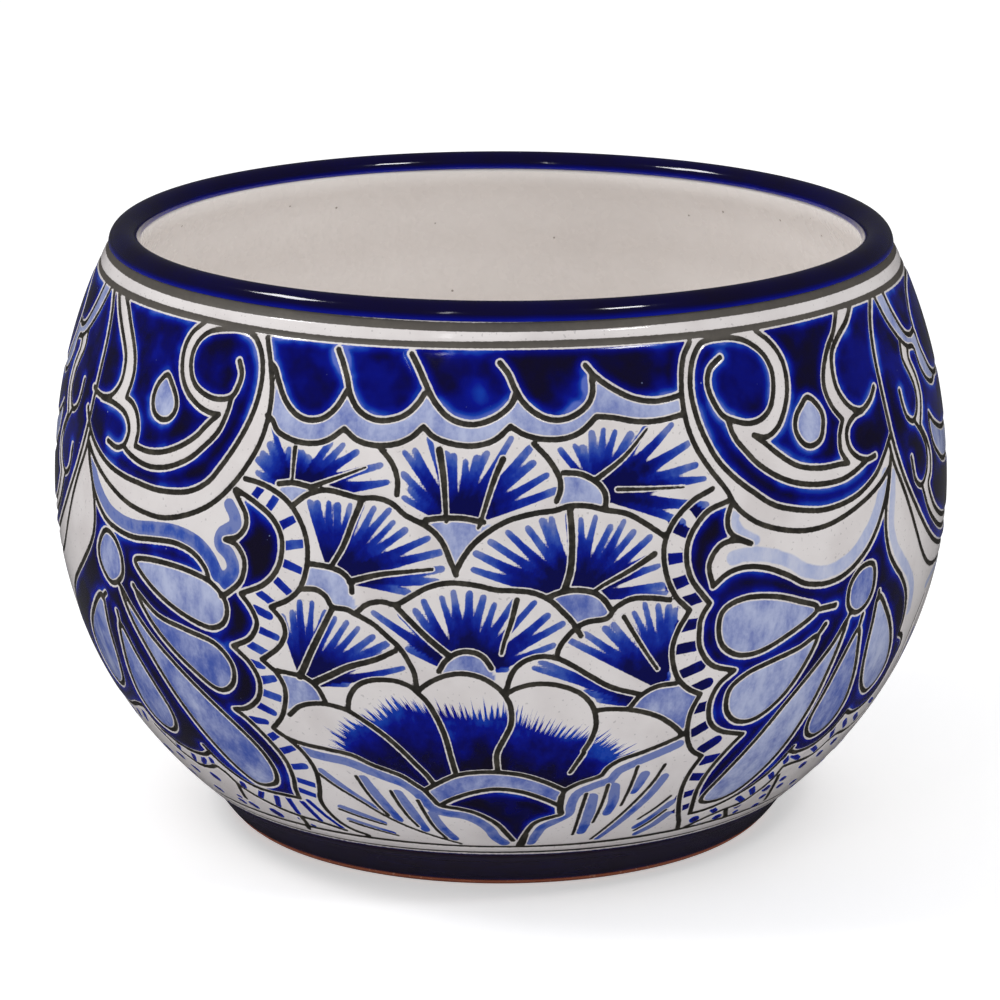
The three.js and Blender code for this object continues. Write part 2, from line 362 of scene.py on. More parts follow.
LEAF_VEINS = [
    [(-26, 55.6), (-24, 51), (-21, 45.4), (-18, 39.3), (-14.5, 33.7), (-10.5, 29), (-6.6, 25.2)],
    [(-20.2, 56.8), (-19.4, 50.5), (-18.3, 44), (-17.1, 39.4)],
    [(-15.6, 51.6), (-14.9, 45.5), (-14, 39.5), (-12.9, 34.4)],
    [(-11.9, 48.2), (-11.2, 41.5), (-10.3, 34.5), (-8.8, 28.2)],
    [(-25.2, 39.2), (-22, 36.3), (-18.3, 33.6)],
    [(-24.5, 32.8), (-21, 30.2), (-17, 27.6)],
    [(12.1, 51.2), (11.8, 42), (11.6, 30)],
    [(15, 54.6), (14.8, 46), (14.3, 36.2)],
    [(18.7, 61.2), (18.4, 53), (17.9, 44)],
    [(22.7, 60.6), (21.6, 53), (19.6, 44), (17.5, 35.5), (15, 26.2)],
    [(25.6, 45.4), (24, 40.6), (21.8, 35.4)],
    [(26, 38.4), (24.2, 33), (22.2, 28.6)],
]

# Blue strokes beside the veins: path and half width.
LEAF_STROKES = [
    ([(-25.4, 57), (-21.6, 48.5), (-18.2, 41.5)], 1.2),
    ([(-19.2, 56), (-17.6, 48), (-15.6, 37.5)], 1.5),
    ([(-14.6, 51), (-13.2, 43), (-11.8, 33)], 1.5),
    ([(-10.3, 41.5), (-9, 34.5), (-7.4, 28.6)], 1.5),
    ([(-24.6, 40.6), (-21.5, 38), (-18.4, 34.9)], 1.2),
    ([(-24.2, 34), (-21, 31.6), (-17.6, 29.2)], 1.2),
    ([(13, 49.5), (13.2, 40), (12.8, 31.6)], 1.7),
    ([(15.9, 53.5), (16.4, 47), (16, 41)], 1.6),
    ([(20, 57.5), (19.6, 54), (19.1, 50.5)], 1.5),
    ([(23.2, 55.5), (21.8, 47.5), (18.8, 36), (16, 26.8)], 1.3),
    ([(26.2, 42), (24, 35.5), (21.9, 31)], 1.3),
    ([(26.7, 36), (25, 30.5), (22.8, 26.6)], 1.3),
]

# Pale bands brushed along the outside of the shell: path, half width.
SHELL_BANDS = [
    ([(-28.6, 65.2), (-25, 63.6), (-21, 62.6), (-18, 60), (-15.5, 57.6), (-13.5, 55.8), (-12, 52.6),
      (-11, 49), (-9.9, 45), (-8, 42.8), (-5.5, 41.8), (-3.6, 39.4), (-1.8, 35), (-0.8, 30),
      (0.6, 26.4)], 1.7),
    ([(24, 68.4), (21.5, 66), (18.5, 63.2), (16, 60.2), (15.2, 56.8), (13, 54.8), (10.8, 51.8), (10.2, 47),
      (10, 42), (8.2, 38.6), (6.4, 35.4), (5.6, 31), (4.9, 26.4)], 1.5),
]

# A fan: seeds in its cell, middle of its base, first and last angle, number of strokes.
FANS = [
    ([(-29, 153), (-22, 154), (-16, 156), (-16, 150)], (-25.3, 146), (172, 2), 14),
    ([(-10, 155), (-3, 155), (4, 152)], (-5.2, 139.5), (160, 16), 16),
    ([(10, 158), (19, 160), (19, 152), (16, 145)], (11.6, 147.5), (134, -28), 14),
    ([(-22, 138), (-13, 135), (-12, 122)], (-20, 122.5), (116, -12), 15),
    ([(2, 132), (13, 135), (16, 121)], (9, 119), (171, -9), 18),
    ([(-24, 108), (-18, 106), (-16, 93)], (-24.6, 89), (108, 4), 13),
    ([(-14, 108), (-5, 112), (4, 110)], (-4, 96), (160, 6), 16),
    ([(10, 105), (18, 110), (20.5, 106)], (20.2, 89.5), (152, 66), 12),
    ([(4, 97)], (19, 84), (172, 140), 6),
]

# Where the brushed cobalt of the shell's petals ends, from its left side round to its right, and
# seeds in the petals.
PETAL_FRONT = [
    (-21.8, 62), (-21.6, 67.3), (-21.4, 72), (-20.4, 76), (-18.4, 78.6), (-15.4, 82), (-13, 86.4),
    (-10.4, 85.6), (-8, 84.6), (-5, 84), (-2, 83.8), (0.6, 85.2), (2.4, 82.5), (5, 79), (8.5, 76.6),
    (11.3, 75.6), (13, 73.6), (15, 70.8), (16.2, 67.6), (16.8, 62),
]
PETAL_CELLS = [
    (-16, 78), (-24, 74), (-9.5, 75), (-13, 88), (-3, 75), (-4, 92), (5, 72), (5, 88), (14, 66),
    (16, 78), (19, 74), (-16, 66),
]
SHELL_HEART = (-0.6, 46)        # the petals spread from here

LEFT_WING_LINES = [
    # frame of the scroll
    [(-65.9, 153.5), (-64.5, 149.3), (-62.7, 145.8), (-60.2, 142.8), (-57.4, 140.6), (-53.9, 139.3),
     (-50.4, 138.8), (-46.8, 138.5), (-43.3, 139.3), (-40.5, 140.9), (-38, 144.3), (-36.3, 148.9),
     (-34.5, 155), (-33.1, 161.2), (-32.2, 167.4), (-31.9, 173.5), (-32.2, 179), (-33.2, 183.9),
     (-34.8, 187.2), (-37, 188), (-39.8, 187.3), (-42.3, 185.7), (-43.8, 182.6), (-44.3, 178.5),
     (-43.8, 173.9), (-42.4, 170.1), (-40.1, 168), (-38, 167.7), (-36.1, 169), (-35.3, 172.6),
     (-35.2, 176), (-36, 179.3)],
    [(-64, 144.4), (-61.3, 140), (-57.3, 135.6), (-52.7, 132.2), (-48.1, 130.9), (-44.5, 131.4),
     (-40.4, 134.4), (-36.9, 138.9), (-33.8, 146), (-31.3, 155), (-30.2, 163), (-30.1, 171.7),
     (-31, 179.4), (-32.4, 187)],
    # ribbons
    [(-43.7, 187.9), (-45.3, 184.7), (-46, 180.5), (-45.8, 175.8), (-44.9, 171.2), (-43.3, 167.4),
     (-41.2, 164.8), (-39.3, 163.6), (-37.6, 163.5)],
    [(-37.6, 163.5), (-39.1, 160.4), (-40.8, 156.2), (-43.3, 152.4), (-46.1, 149.7), (-49, 148.5),
     (-51.9, 148.8)],
    [(-51.9, 148.8), (-51.7, 153.5), (-52.5, 157.6), (-53.9, 160.2), (-55.7, 161.3)],
    [(-55.7, 161.3), (-55.2, 167.2), (-55.8, 172.4), (-57.4, 177), (-59.5, 181.2), (-61.8, 185.4),
     (-64.4, 189)],
    [(-66.8, 188.6), (-64.5, 184.3), (-62, 180), (-59.9, 176.2), (-58.3, 172.4), (-57.7, 168.2),
     (-57.8, 164.7), (-58.7, 161.6), (-60, 159.6), (-61.8, 158.7), (-63.8, 159), (-65.1, 159.9)],
    [(-62, 158.3), (-58.8, 158.4), (-56.4, 157.7), (-54.8, 156.2), (-53.8, 153.4), (-53.8, 150.5),
     (-54.5, 147.8), (-56.1, 146.5), (-58.4, 147.3)],
    [(-54.5, 147.8), (-53.2, 146.4), (-51.1, 145.1), (-48.6, 144.5), (-46.1, 145.2), (-43.7, 147),
     (-41.2, 150.1), (-39.1, 154.3), (-37.3, 158.9), (-36.4, 164.3), (-36.1, 168.6)],
    # wing
    [(-64, 144), (-62.9, 138.4), (-60.8, 130.8), (-57.8, 125.2), (-54.7, 123.2), (-51, 122.7),
     (-47.1, 123.9), (-43, 124.8), (-39.9, 123.3), (-38, 119.8), (-37.3, 116)],
    [(-64, 144), (-61.6, 132.8), (-60.7, 126), (-60.9, 119.4), (-62.4, 113.9), (-64.9, 108.4), (-68, 103),
     (-71.5, 97.5), (-75, 90.6), (-77.6, 82), (-78.4, 72), (-76.5, 62)],
    [(-33.8, 143.4), (-33, 140.8), (-32, 137.4), (-31.9, 133.9), (-33, 130.6), (-34.9, 129.1)],
    [(-34.9, 129.1), (-33.2, 128.2), (-32, 123.9), (-32.5, 118.2), (-34.4, 114), (-35.6, 112.4)],
    [(-33.5, 143.8), (-30.8, 141.2), (-28.1, 137.2), (-26.8, 131.6), (-27.2, 124), (-29.2, 118.2),
     (-32.6, 114.3)],
    [(-32.6, 114.3), (-31.2, 110.6), (-30.5, 106), (-31.8, 101), (-34.5, 97.6)],
    [(-34.5, 97.6), (-32.3, 93.3), (-31.3, 87.7), (-32, 81.7), (-34.2, 77.2), (-36.6, 75.5)],
    [(-36.6, 75.5), (-34.7, 72.6), (-32.3, 66), (-30.8, 58.9), (-30.8, 51.6), (-31.5, 46.2),
     (-31.8, 41.3)],
    [(-31.8, 41.3), (-34.5, 41.3), (-37.7, 41), (-40.9, 42), (-43.3, 45), (-45.4, 49.6), (-47, 55.4)],
    [(-46.6, 52.8), (-48.4, 50.7), (-51, 49.7), (-54, 50.1), (-57.2, 52.5), (-59.6, 56.4), (-60.8, 61.6)],
    [(-60.8, 61.6), (-63.4, 60.4), (-66.9, 57.8), (-70.6, 56.6), (-74, 58), (-76.5, 62)],
    # white border round the wing
    [(-32.4, 147.2), (-29.8, 146.4), (-27, 143.8), (-25, 139.6), (-23.6, 133.2), (-23.4, 126),
     (-24.2, 119.2), (-25.8, 115), (-28.4, 111.8)],
    [(-28.4, 111.8), (-27, 108.5), (-26.6, 104.8), (-27.3, 101), (-28.6, 98), (-30.4, 95)],
    [(-30.4, 95), (-28.6, 91.6), (-27.7, 87), (-28, 82), (-29.1, 76.2), (-31, 71.3)],
    [(-31, 71.3), (-29, 68), (-27.4, 64), (-26.5, 59), (-26.4, 54), (-27, 48), (-27.8, 43), (-27.8, 38),
     (-26.8, 32), (-25.2, 28), (-22.6, 25.4)],
    [(-45.8, 44.6), (-44.7, 40), (-43.3, 37.2), (-40.9, 34.5), (-37.7, 31.6), (-34.5, 30), (-32, 29.3),
     (-29.4, 28.2), (-26.6, 26.4)],
    [(-56.6, 45.8), (-53.2, 43.1), (-51.1, 43.5), (-49, 44.7), (-47.3, 46.4), (-46, 44.6)],
    [(-44.7, 40), (-45.5, 35.7), (-46.2, 31.4)],
    [(-56.6, 45.8), (-58.4, 49.4), (-60.6, 54)],
    [(-34.4, 29.6), (-34.6, 25.4), (-35.4, 21.6)],
]

LEFT_WING_LOOPS = [
    # droplet, oval and the petals of the wing
    [(-48, 171.2), (-46.7, 168.9), (-45.4, 165.4), (-45.1, 162.2), (-46, 159.3), (-47.6, 158.5),
     (-49.1, 160), (-49.8, 163.4), (-49.6, 167), (-48.9, 169.6)],
    [(-57.7, 121.2), (-55.2, 120), (-53.7, 115), (-54, 109.4), (-56.7, 105.9), (-59, 109.4), (-59.6, 115)],
    [(-50.7, 115.7), (-48.5, 117.5), (-44.5, 118.1), (-40.4, 117.6), (-36.9, 115.5), (-34.9, 110.6),
     (-35.3, 105), (-37.4, 102), (-40.4, 102.8), (-44.5, 106), (-48.1, 110.4)],
    [(-50.9, 106.4), (-47.1, 101.2), (-42, 99.2), (-37.4, 97.1), (-35.2, 91.7), (-35.4, 86), (-37, 82.2),
     (-39, 81.7), (-41.5, 85), (-45.5, 91.6), (-48.6, 98.3)],
    [(-54.6, 105.8), (-52.6, 101), (-49.5, 93.8), (-45.5, 86), (-41, 77.2), (-36.9, 68.3), (-34.4, 60.6),
     (-33.7, 52.8), (-35, 46.6), (-38.8, 44), (-41.5, 49.4), (-44.5, 60.6), (-47.6, 73.8), (-50.6, 87),
     (-53.2, 97.2)],
    [(-56.6, 93), (-54.2, 83.8), (-52.2, 75), (-51, 67), (-51.7, 60.6), (-54.2, 56.8), (-57.3, 58.4),
     (-59, 65), (-58.8, 73.8), (-57.8, 84)],
    [(-60.4, 100), (-60.6, 89.4), (-61.3, 78.4), (-63.4, 69.6), (-66.6, 65.7), (-69.6, 68), (-70.4, 75),
     (-68.6, 84), (-65, 92.4)],
]

LEFT_WING_ACCENTS = [
    ([(-59, 101.4), (-60.6, 98.8)], 0.7, 0.7),
    ([(-56.7, 97), (-56.6, 92)], 0.8, 0.6),
    ([(-51.5, 108), (-50.6, 105.6)], 0.8, 0.7),
    ([(-55.2, 107), (-54.4, 105.2)], 0.7, 0.7),
    ([(-48.6, 98), (-47.6, 96.4)], 0.6, 0.6),
]

LEFT_PALE_BANDS = [
    ([(-62.2, 139.5), (-60, 133.4), (-57, 128.4), (-54, 126.4), (-50.5, 126), (-46.5, 127.3), (-42.8, 128),
      (-39.4, 126.6), (-37.2, 123), (-36, 118.5)], 1.9),
    ([(-34.4, 139.2), (-33.6, 136.6), (-33.4, 133.6), (-35.2, 130.8), (-35.6, 127.6), (-34.2, 125),
      (-33.6, 121), (-34.8, 116.8)], 1.9),
    ([(-63.4, 138.6), (-62.6, 132), (-62.2, 126), (-62.6, 119.4), (-64.4, 113.2), (-67.2, 107.2),
      (-70.4, 101.6)], 1.7),
]

RIGHT_WING_LINES = [
    # frame of the scroll
    [(57.6, 148.8), (55.4, 143.9), (52.9, 139.4), (48.8, 135.7), (43.7, 134.4), (39.6, 135.6),
     (35, 138.7), (31.9, 143.5), (29.4, 148.2), (27.3, 153.6), (25.9, 159.7), (25, 166), (24.6, 172.8),
     (24.9, 178.3), (25.8, 183.3), (27.4, 186.8), (30.1, 187.4), (32.6, 186.7), (34.7, 184.7),
     (36.5, 180.8), (37.2, 175.8), (36.8, 170.5), (35.8, 165.9), (34.2, 163.3), (32.2, 162.7),
     (30.1, 164.1), (28.6, 166), (27.5, 170.5), (27.1, 175.2), (27.8, 179.3), (29.6, 182)],
    [(57, 141), (53.9, 136.7), (49.8, 133.2), (44.7, 130.3), (40.6, 129.7), (36.6, 131.1), (32.5, 134.5),
     (29.6, 139.6), (28, 145.6), (26.2, 151.2), (24.7, 156.8), (23.7, 163), (23.3, 169.8), (23.5, 176.6),
     (24.2, 182.8), (25.6, 187.4)],
    # ribbons
    [(36.1, 187.9), (37.9, 184.3), (39.1, 179.8), (39.4, 174.7), (38.9, 168.9), (37.7, 163.6),
     (36.3, 159.9), (34.5, 158.2), (32.7, 159.3)],
    [(32.7, 159.3), (34.2, 156.6), (36.1, 152.8), (38.2, 149.4), (40.3, 147.5), (43.2, 146.3), (46, 146.1),
     (47.9, 145.7)],
    [(47.9, 145.7), (46.7, 149.7), (46.9, 154.3), (47.9, 158.2)],
    [(47.9, 158.2), (46.3, 162.8), (45.6, 168.2), (46.3, 173.5), (48.1, 178.9), (50.2, 182.8),
     (52.3, 188.4)],
    [(55.9, 188.4), (53.7, 184.7), (50.9, 181.3), (48.8, 177.7), (47.9, 172.8), (47.9, 167.4), (49, 162.8),
     (50.6, 160), (52.4, 159.3), (54.5, 161.4), (55.9, 164.3)],
    [(52.2, 158.9), (50.2, 158.2), (48.6, 155.8), (48.1, 152.4), (48.6, 149), (50, 146.3), (51.8, 145),
     (53.5, 145.3)],
    [(51.8, 145), (48.8, 142.8), (46.3, 141.7), (43.2, 141.8), (40.3, 142.8), (37.5, 144.7), (35.1, 147.5),
     (32.9, 151.2), (31.2, 155.5), (29.9, 159.7), (29.2, 165)],
    # wing
    [(57.3, 143.6), (55.4, 133), (52.9, 124), (50.3, 118.3), (46.7, 114), (43.2, 112.9), (39.6, 114.4),
     (36.6, 118.2), (33.5, 121.4), (30.4, 122.8), (27.9, 121.8), (25.9, 118.7)],
    [(57.3, 143.6), (56.1, 135), (55.2, 128.3), (55.2, 121.7), (56.2, 115.2), (58, 110.2), (60.2, 105.8),
     (62.6, 99.5), (64, 92.4), (64.4, 84.6)],
    [(28.8, 141.8), (28, 137.2), (28.5, 132.8), (31.2, 129.2)],
    [(31.2, 129.2), (29.2, 130.8), (26.9, 130), (25.4, 125), (25.9, 118.7)],
    [(28.2, 142.2), (25.3, 140), (23.1, 134.4), (22.4, 128.3), (23, 121.7), (24.6, 116.4), (25.5, 113.8)],
    [(25.5, 113.8), (24.6, 110.6), (24.3, 107), (24.6, 100.6), (26.5, 94.6), (29.9, 91.6)],
    [(29.9, 91.6), (27.9, 87.8), (27.1, 81.7), (27.8, 75), (29.9, 70.7), (33.8, 67.7)],
    [(33.8, 67.7), (32.2, 63), (30.4, 55), (29.9, 47), (30.5, 40), (31.4, 33.4)],
    [(31.4, 33.4), (33.6, 33.6), (36.1, 35), (38.9, 37.7), (41.8, 41.8), (43.9, 47), (45.9, 55.6)],
    [(45.6, 54.2), (47.4, 52.4), (50.2, 52), (53, 53.6), (55.2, 57.4), (56.6, 62.4)],
    [(56.6, 62.4), (58.6, 60.4), (61.6, 60), (64.6, 62), (66.4, 67), (66.8, 73)],
    [(64.4, 84.6), (66.4, 82.4), (67.4, 78.4), (66.8, 73)],
    # white border round the wing
    [(26.2, 146.2), (23.4, 143.4), (20.9, 138.3), (19.6, 131.8), (19.8, 124), (21, 117.2), (22.9, 112.5)],
    [(22.9, 112.5), (21.5, 107), (20.9, 100.6), (21.8, 92.8), (23.6, 88), (25.5, 85.5)],
    [(25.5, 85.5), (24.6, 79.4), (24.8, 71.6), (26.1, 65.2), (28.1, 61.8)],
    [(28.1, 61.8), (27.1, 55), (27, 48.2), (27.8, 41), (29.1, 34.2), (30.3, 29.4), (31.3, 24.6)],
    [(32.8, 25), (36.1, 28.4), (38.7, 30.4), (41, 31.2), (43.2, 32.7), (44.9, 36.5), (46.3, 41.1),
     (46.7, 46.5)],
    [(46.7, 46.5), (48.8, 46.6), (52, 46.1), (54.5, 46.8), (56.5, 50.4)],
    [(56.5, 50.4), (58.6, 52), (61.6, 51), (65, 51.6), (68, 54.6)],
    [(39.8, 29.8), (41.9, 24.2)],
    [(47.4, 42), (49.4, 33), (51.3, 26.4)],
]

RIGHT_WING_LOOPS = [
    [(42.2, 166.9), (43.5, 164.6), (44.3, 161.2), (44, 157.4), (43.2, 154.3), (41.4, 153.2), (40, 155.1),
     (39.3, 158.9), (39.8, 162.4), (41, 165.1)],
    [(52.4, 113.9), (49.8, 114.2), (47.8, 110), (47.8, 103.9), (49.6, 100.6), (51.8, 102.2),
     (52.9, 107.2)],
    [(42, 105.5), (38.6, 109.6), (34.5, 112.7), (30.4, 113.7), (27.6, 111.5), (26.9, 106.6), (27.6, 100.6),
     (29.9, 96.7), (33, 96.2), (37.1, 99.4)],
    [(42.7, 96.6), (39.6, 94.4), (35.5, 92.3), (32, 89.9), (29.7, 85.4), (29.9, 78.3), (32, 73.4),
     (35, 72.8), (38.1, 77.3), (40.6, 85)],
    [(48, 98.6), (46, 92.6), (42.7, 83.9), (39.6, 75), (36.6, 63.9), (33.5, 51.7), (31.7, 42), (33, 38.4),
     (36.6, 38.6), (39.6, 43), (42.7, 54), (45, 69.4), (46.5, 83.9)],
    [(51, 94.6), (49, 87), (47.5, 77.2), (46.4, 67), (47.3, 60.6), (49.8, 57.6), (52.6, 60.2),
     (53.8, 67.2), (53.3, 77.2), (52.1, 87.2)],
    [(54.5, 103), (54.2, 94), (54.4, 86), (55.4, 78), (57.2, 71.6), (60, 67.6), (62.4, 69.4), (63.4, 74),
     (62.6, 80.6), (60.4, 88.6), (57.4, 96.8)],
]

RIGHT_WING_ACCENTS = [
    ([(54.4, 104.6), (54.6, 102)], 0.7, 0.7),
    ([(51.3, 99), (51, 94)], 0.8, 0.6),
    ([(43.8, 100), (42.6, 96.8)], 0.9, 0.7),
    ([(48.5, 100.8), (47.8, 98.4)], 0.8, 0.7),
    ([(45.2, 105.2), (41.8, 105.5)], 0.9, 0.8),
]

RIGHT_PALE_BANDS = [
    ([(55.4, 139), (53.4, 131), (51.2, 124.8), (48.6, 119.8), (45.6, 117), (42.4, 116.4), (39.6, 118.2),
      (36.8, 122.2), (33.6, 125.2), (30.4, 126.4), (28.6, 126)], 2.0),
    ([(29.4, 139.6), (28.9, 136.4), (30, 132.4), (31.8, 130)], 1.5),
    ([(57.2, 138), (56.8, 131), (56.4, 124), (57.4, 117), (59.4, 111.6), (62, 106.4), (64.4, 100),
      (65.4, 92)], 1.7),
]

# Cells filled with cobalt and with the pale wash.
COBALT_CELLS = [
    (-25, 180), (-15, 180), (-5, 178), (5, 178), (18, 180),
    (0, 48), (3, 38),
    (-50, 178), (-40, 180), (-34, 170), (-45, 141.8), (-61, 170), (-58, 152), (-52, 165), (-42, 155),
    (-29, 130), (-33, 107), (-33, 86), (-58.6, 123.2), (-52.6, 112), (-32.4, 60), (-58, 101),
    (44, 178), (32, 175), (26.5, 172), (40, 139), (53, 172), (52, 152), (41, 150), (45.5, 158),
    (24.6, 128), (25.6, 106), (28.5, 80), (53.6, 121), (45, 109), (33.5, 60), (53.6, 98),
]
WASH_CELLS = [
    (-29, 167), (-24, 162.5), (-15, 164), (-5, 164.5), (6, 165.5), (16, 169),
    (-25.2, 145), (-5.4, 137), (10, 149), (-20.5, 121),
    (-47.5, 164), (-40, 110), (42, 160), (33, 105), (34, 83), (39, 60), (58, 78),
]
DEEP_CELLS = [
    (9, 117), (-3.5, 100), (-26, 86), (21, 85), (-1, 58), (6, 54),
    (-56.7, 114), (-40, 92), (-40, 60), (-55, 66), (-64, 80), (50, 108), (50, 68),
]

# Places where the cobalt lies thin and pale: middle, radius, how much thinner.
THIN_SPOTS = [
    ((10.2, 178), 4.0, 0.6), ((9, 172), 3.5, 0.3), ((-21, 184), 3.0, 0.4), ((-25.5, 174), 6.0, 0.3),
    ((-2.5, 176), 4.0, 0.3), ((-50, 176), 7.0, 0.3), ((30, 110), 5.0, 0.3), ((-36, 96), 4.0, 0.5),
]

# Middle line of each white border, where dashes are laid across it. Spacing, length, half width, and
# how thickly the glaze lies on them.
BORDER_DASHES = [
    ([(-31.6, 145.4), (-29, 142), (-26.4, 137), (-25, 130), (-25.2, 123), (-27, 117.4), (-30, 112),
      (-28.8, 107), (-29.6, 100), (-32, 95.4), (-30, 88), (-30.2, 81), (-33, 74), (-30.8, 68), (-29.2, 60),
      (-28.8, 52), (-29.6, 43.5)], 6.2, 6.2, 1.3, 0.3),
    ([(25.6, 142), (22, 137), (21, 130), (21.4, 122), (23.4, 115), (23, 107), (22.8, 99), (24.4, 91),
      (26.3, 84), (26, 76), (28, 68), (30, 62.5), (28.4, 55), (28.4, 47),
      (29.4, 38)], 7.8, 5.6, 1.75, 0.8),
]

# Separate cobalt dashes and dots: path, half width at its start and end.
WING_DASHES = [
    ([(-31.6, 39.4), (-30.4, 30.6)], 1.1, 1.0), ([(-30.2, 41), (-28.6, 34), (-26.8, 28)], 1.0, 0.8),
    ([(-34.2, 39.8), (-34.3, 32.2)], 1.1, 1.0), ([(-36.6, 39.2), (-37.8, 33.8)], 1.1, 1.0),
    ([(-39.5, 39.8), (-40.9, 36)], 1.1, 1.0), ([(-43, 41.4), (-43.3, 39.8)], 1.2, 1.2),
    ([(-47.3, 49.4), (-47.6, 47.4)], 1.1, 1.0), ([(-49.4, 48.2), (-50.6, 45.4)], 1.2, 1.0),
    ([(-52.3, 47.8), (-53.1, 45.2)], 1.1, 1.0), ([(-55.6, 50), (-56.4, 47.4)], 1.1, 1.0),
    ([(-58.2, 54), (-59, 51.4)], 1.1, 1.0), ([(-62.2, 58), (-63.2, 54.6)], 1.1, 1.0),
    ([(-65.4, 56.4), (-66.4, 53.4)], 1.1, 1.0), ([(-69, 54.8), (-70, 52)], 1.1, 1.0),
    ([(-64.8, 41.6), (-63.6, 41.4)], 1.8, 1.8), ([(-50.6, 39.6), (-50.1, 38.8)], 1.6, 1.6),
    ([(-40.4, 28.6), (-39.9, 27.6)], 1.9, 1.9), ([(-54.4, 30.4), (-53.8, 30)], 1.5, 1.5),
    ([(-47.9, 31.6), (-47.5, 31.4)], 0.9, 0.9), ([(-48.6, 28.6), (-48.2, 28.2)], 1.3, 1.3),
    ([(-45.6, 28.8), (-45.2, 28)], 1.5, 1.5), ([(-35.1, 28.4), (-34.9, 28.2)], 0.9, 0.9),
    ([(-33.2, 25.8), (-33, 25.6)], 0.8, 0.8), ([(-56.8, 38.6), (-56.2, 38.2)], 1.4, 1.4),
    ([(-59, 42.8), (-58.4, 42.4)], 1.4, 1.4), ([(-61.6, 33), (-61, 32.6)], 1.5, 1.5),
    ([(33.1, 29.8), (33.5, 28.8)], 1.6, 1.6), ([(36, 33), (36.9, 31.4)], 1.1, 1.0),
    ([(40.2, 36.4), (42.2, 33.4)], 1.1, 1.0), ([(42.1, 39.6), (43.4, 36.4)], 1.2, 1.0),
    ([(44.4, 45), (45.5, 42.6)], 1.1, 1.0), ([(45.7, 51), (46.4, 49)], 1.2, 1.1),
    ([(47.2, 51.4), (49.6, 48.2)], 1.1, 0.9), ([(52, 51.4), (53.8, 48.8)], 1.1, 0.9),
    ([(55.4, 56), (56.4, 53)], 1.1, 1.0), ([(58, 57.8), (59.6, 54.6)], 1.1, 1.0),
    ([(61.6, 57.4), (63.6, 54.4)], 1.1, 1.0), ([(65.4, 60.4), (67.4, 58.6)], 1.1, 1.0),
    ([(38.7, 27), (39.1, 26.6)], 1.5, 1.5), ([(42, 30.8), (42.3, 30.4)], 1.3, 1.3),
    ([(43.1, 26.8), (43.4, 26.4)], 1.0, 1.0), ([(35.2, 25), (35.6, 24.8)], 0.8, 0.8),
    ([(46.3, 36.8), (46.8, 36.2)], 1.5, 1.5), ([(49.5, 39), (50, 38.6)], 1.2, 1.2),
    ([(50.8, 34.6), (51.2, 34.2)], 1.3, 1.3), ([(47.8, 31.4), (48.1, 31)], 1.3, 1.3),
    ([(48.4, 25.9), (48.9, 25.6)], 1.4, 1.4), ([(53, 42.8), (53.5, 42.4)], 1.5, 1.5),
    ([(59.5, 48.2), (60, 47.8)], 1.5, 1.5), ([(56.2, 32), (56.7, 31.6)], 1.4, 1.4),
    ([(60.1, 26.7), (60.6, 26.3)], 1.4, 1.4), ([(56.7, 45.1), (57.2, 44.7)], 1.4, 1.4),
]

# Rings painted right round the pot: height, half width.
RINGS = [(194.05, 1.1), (189.0, 0.95), (23.9, 0.7), (19.4, 0.5)]

# Where a cell is open between two outlines that don't quite meet, this closes it.
FENCES = [
    [(-2, 140.4), (-0.7, 138.8)],
    [(-17.7, 119), (-17.2, 113.6)],
    [(-1.1, 98.3), (-0.5, 93.5)],
    [(-7.4, 97), (-8.4, 93)],
    [(-12.4, 147.2), (-12.3, 144)],
    [(23.3, 167.6), (24, 167.6)],
]

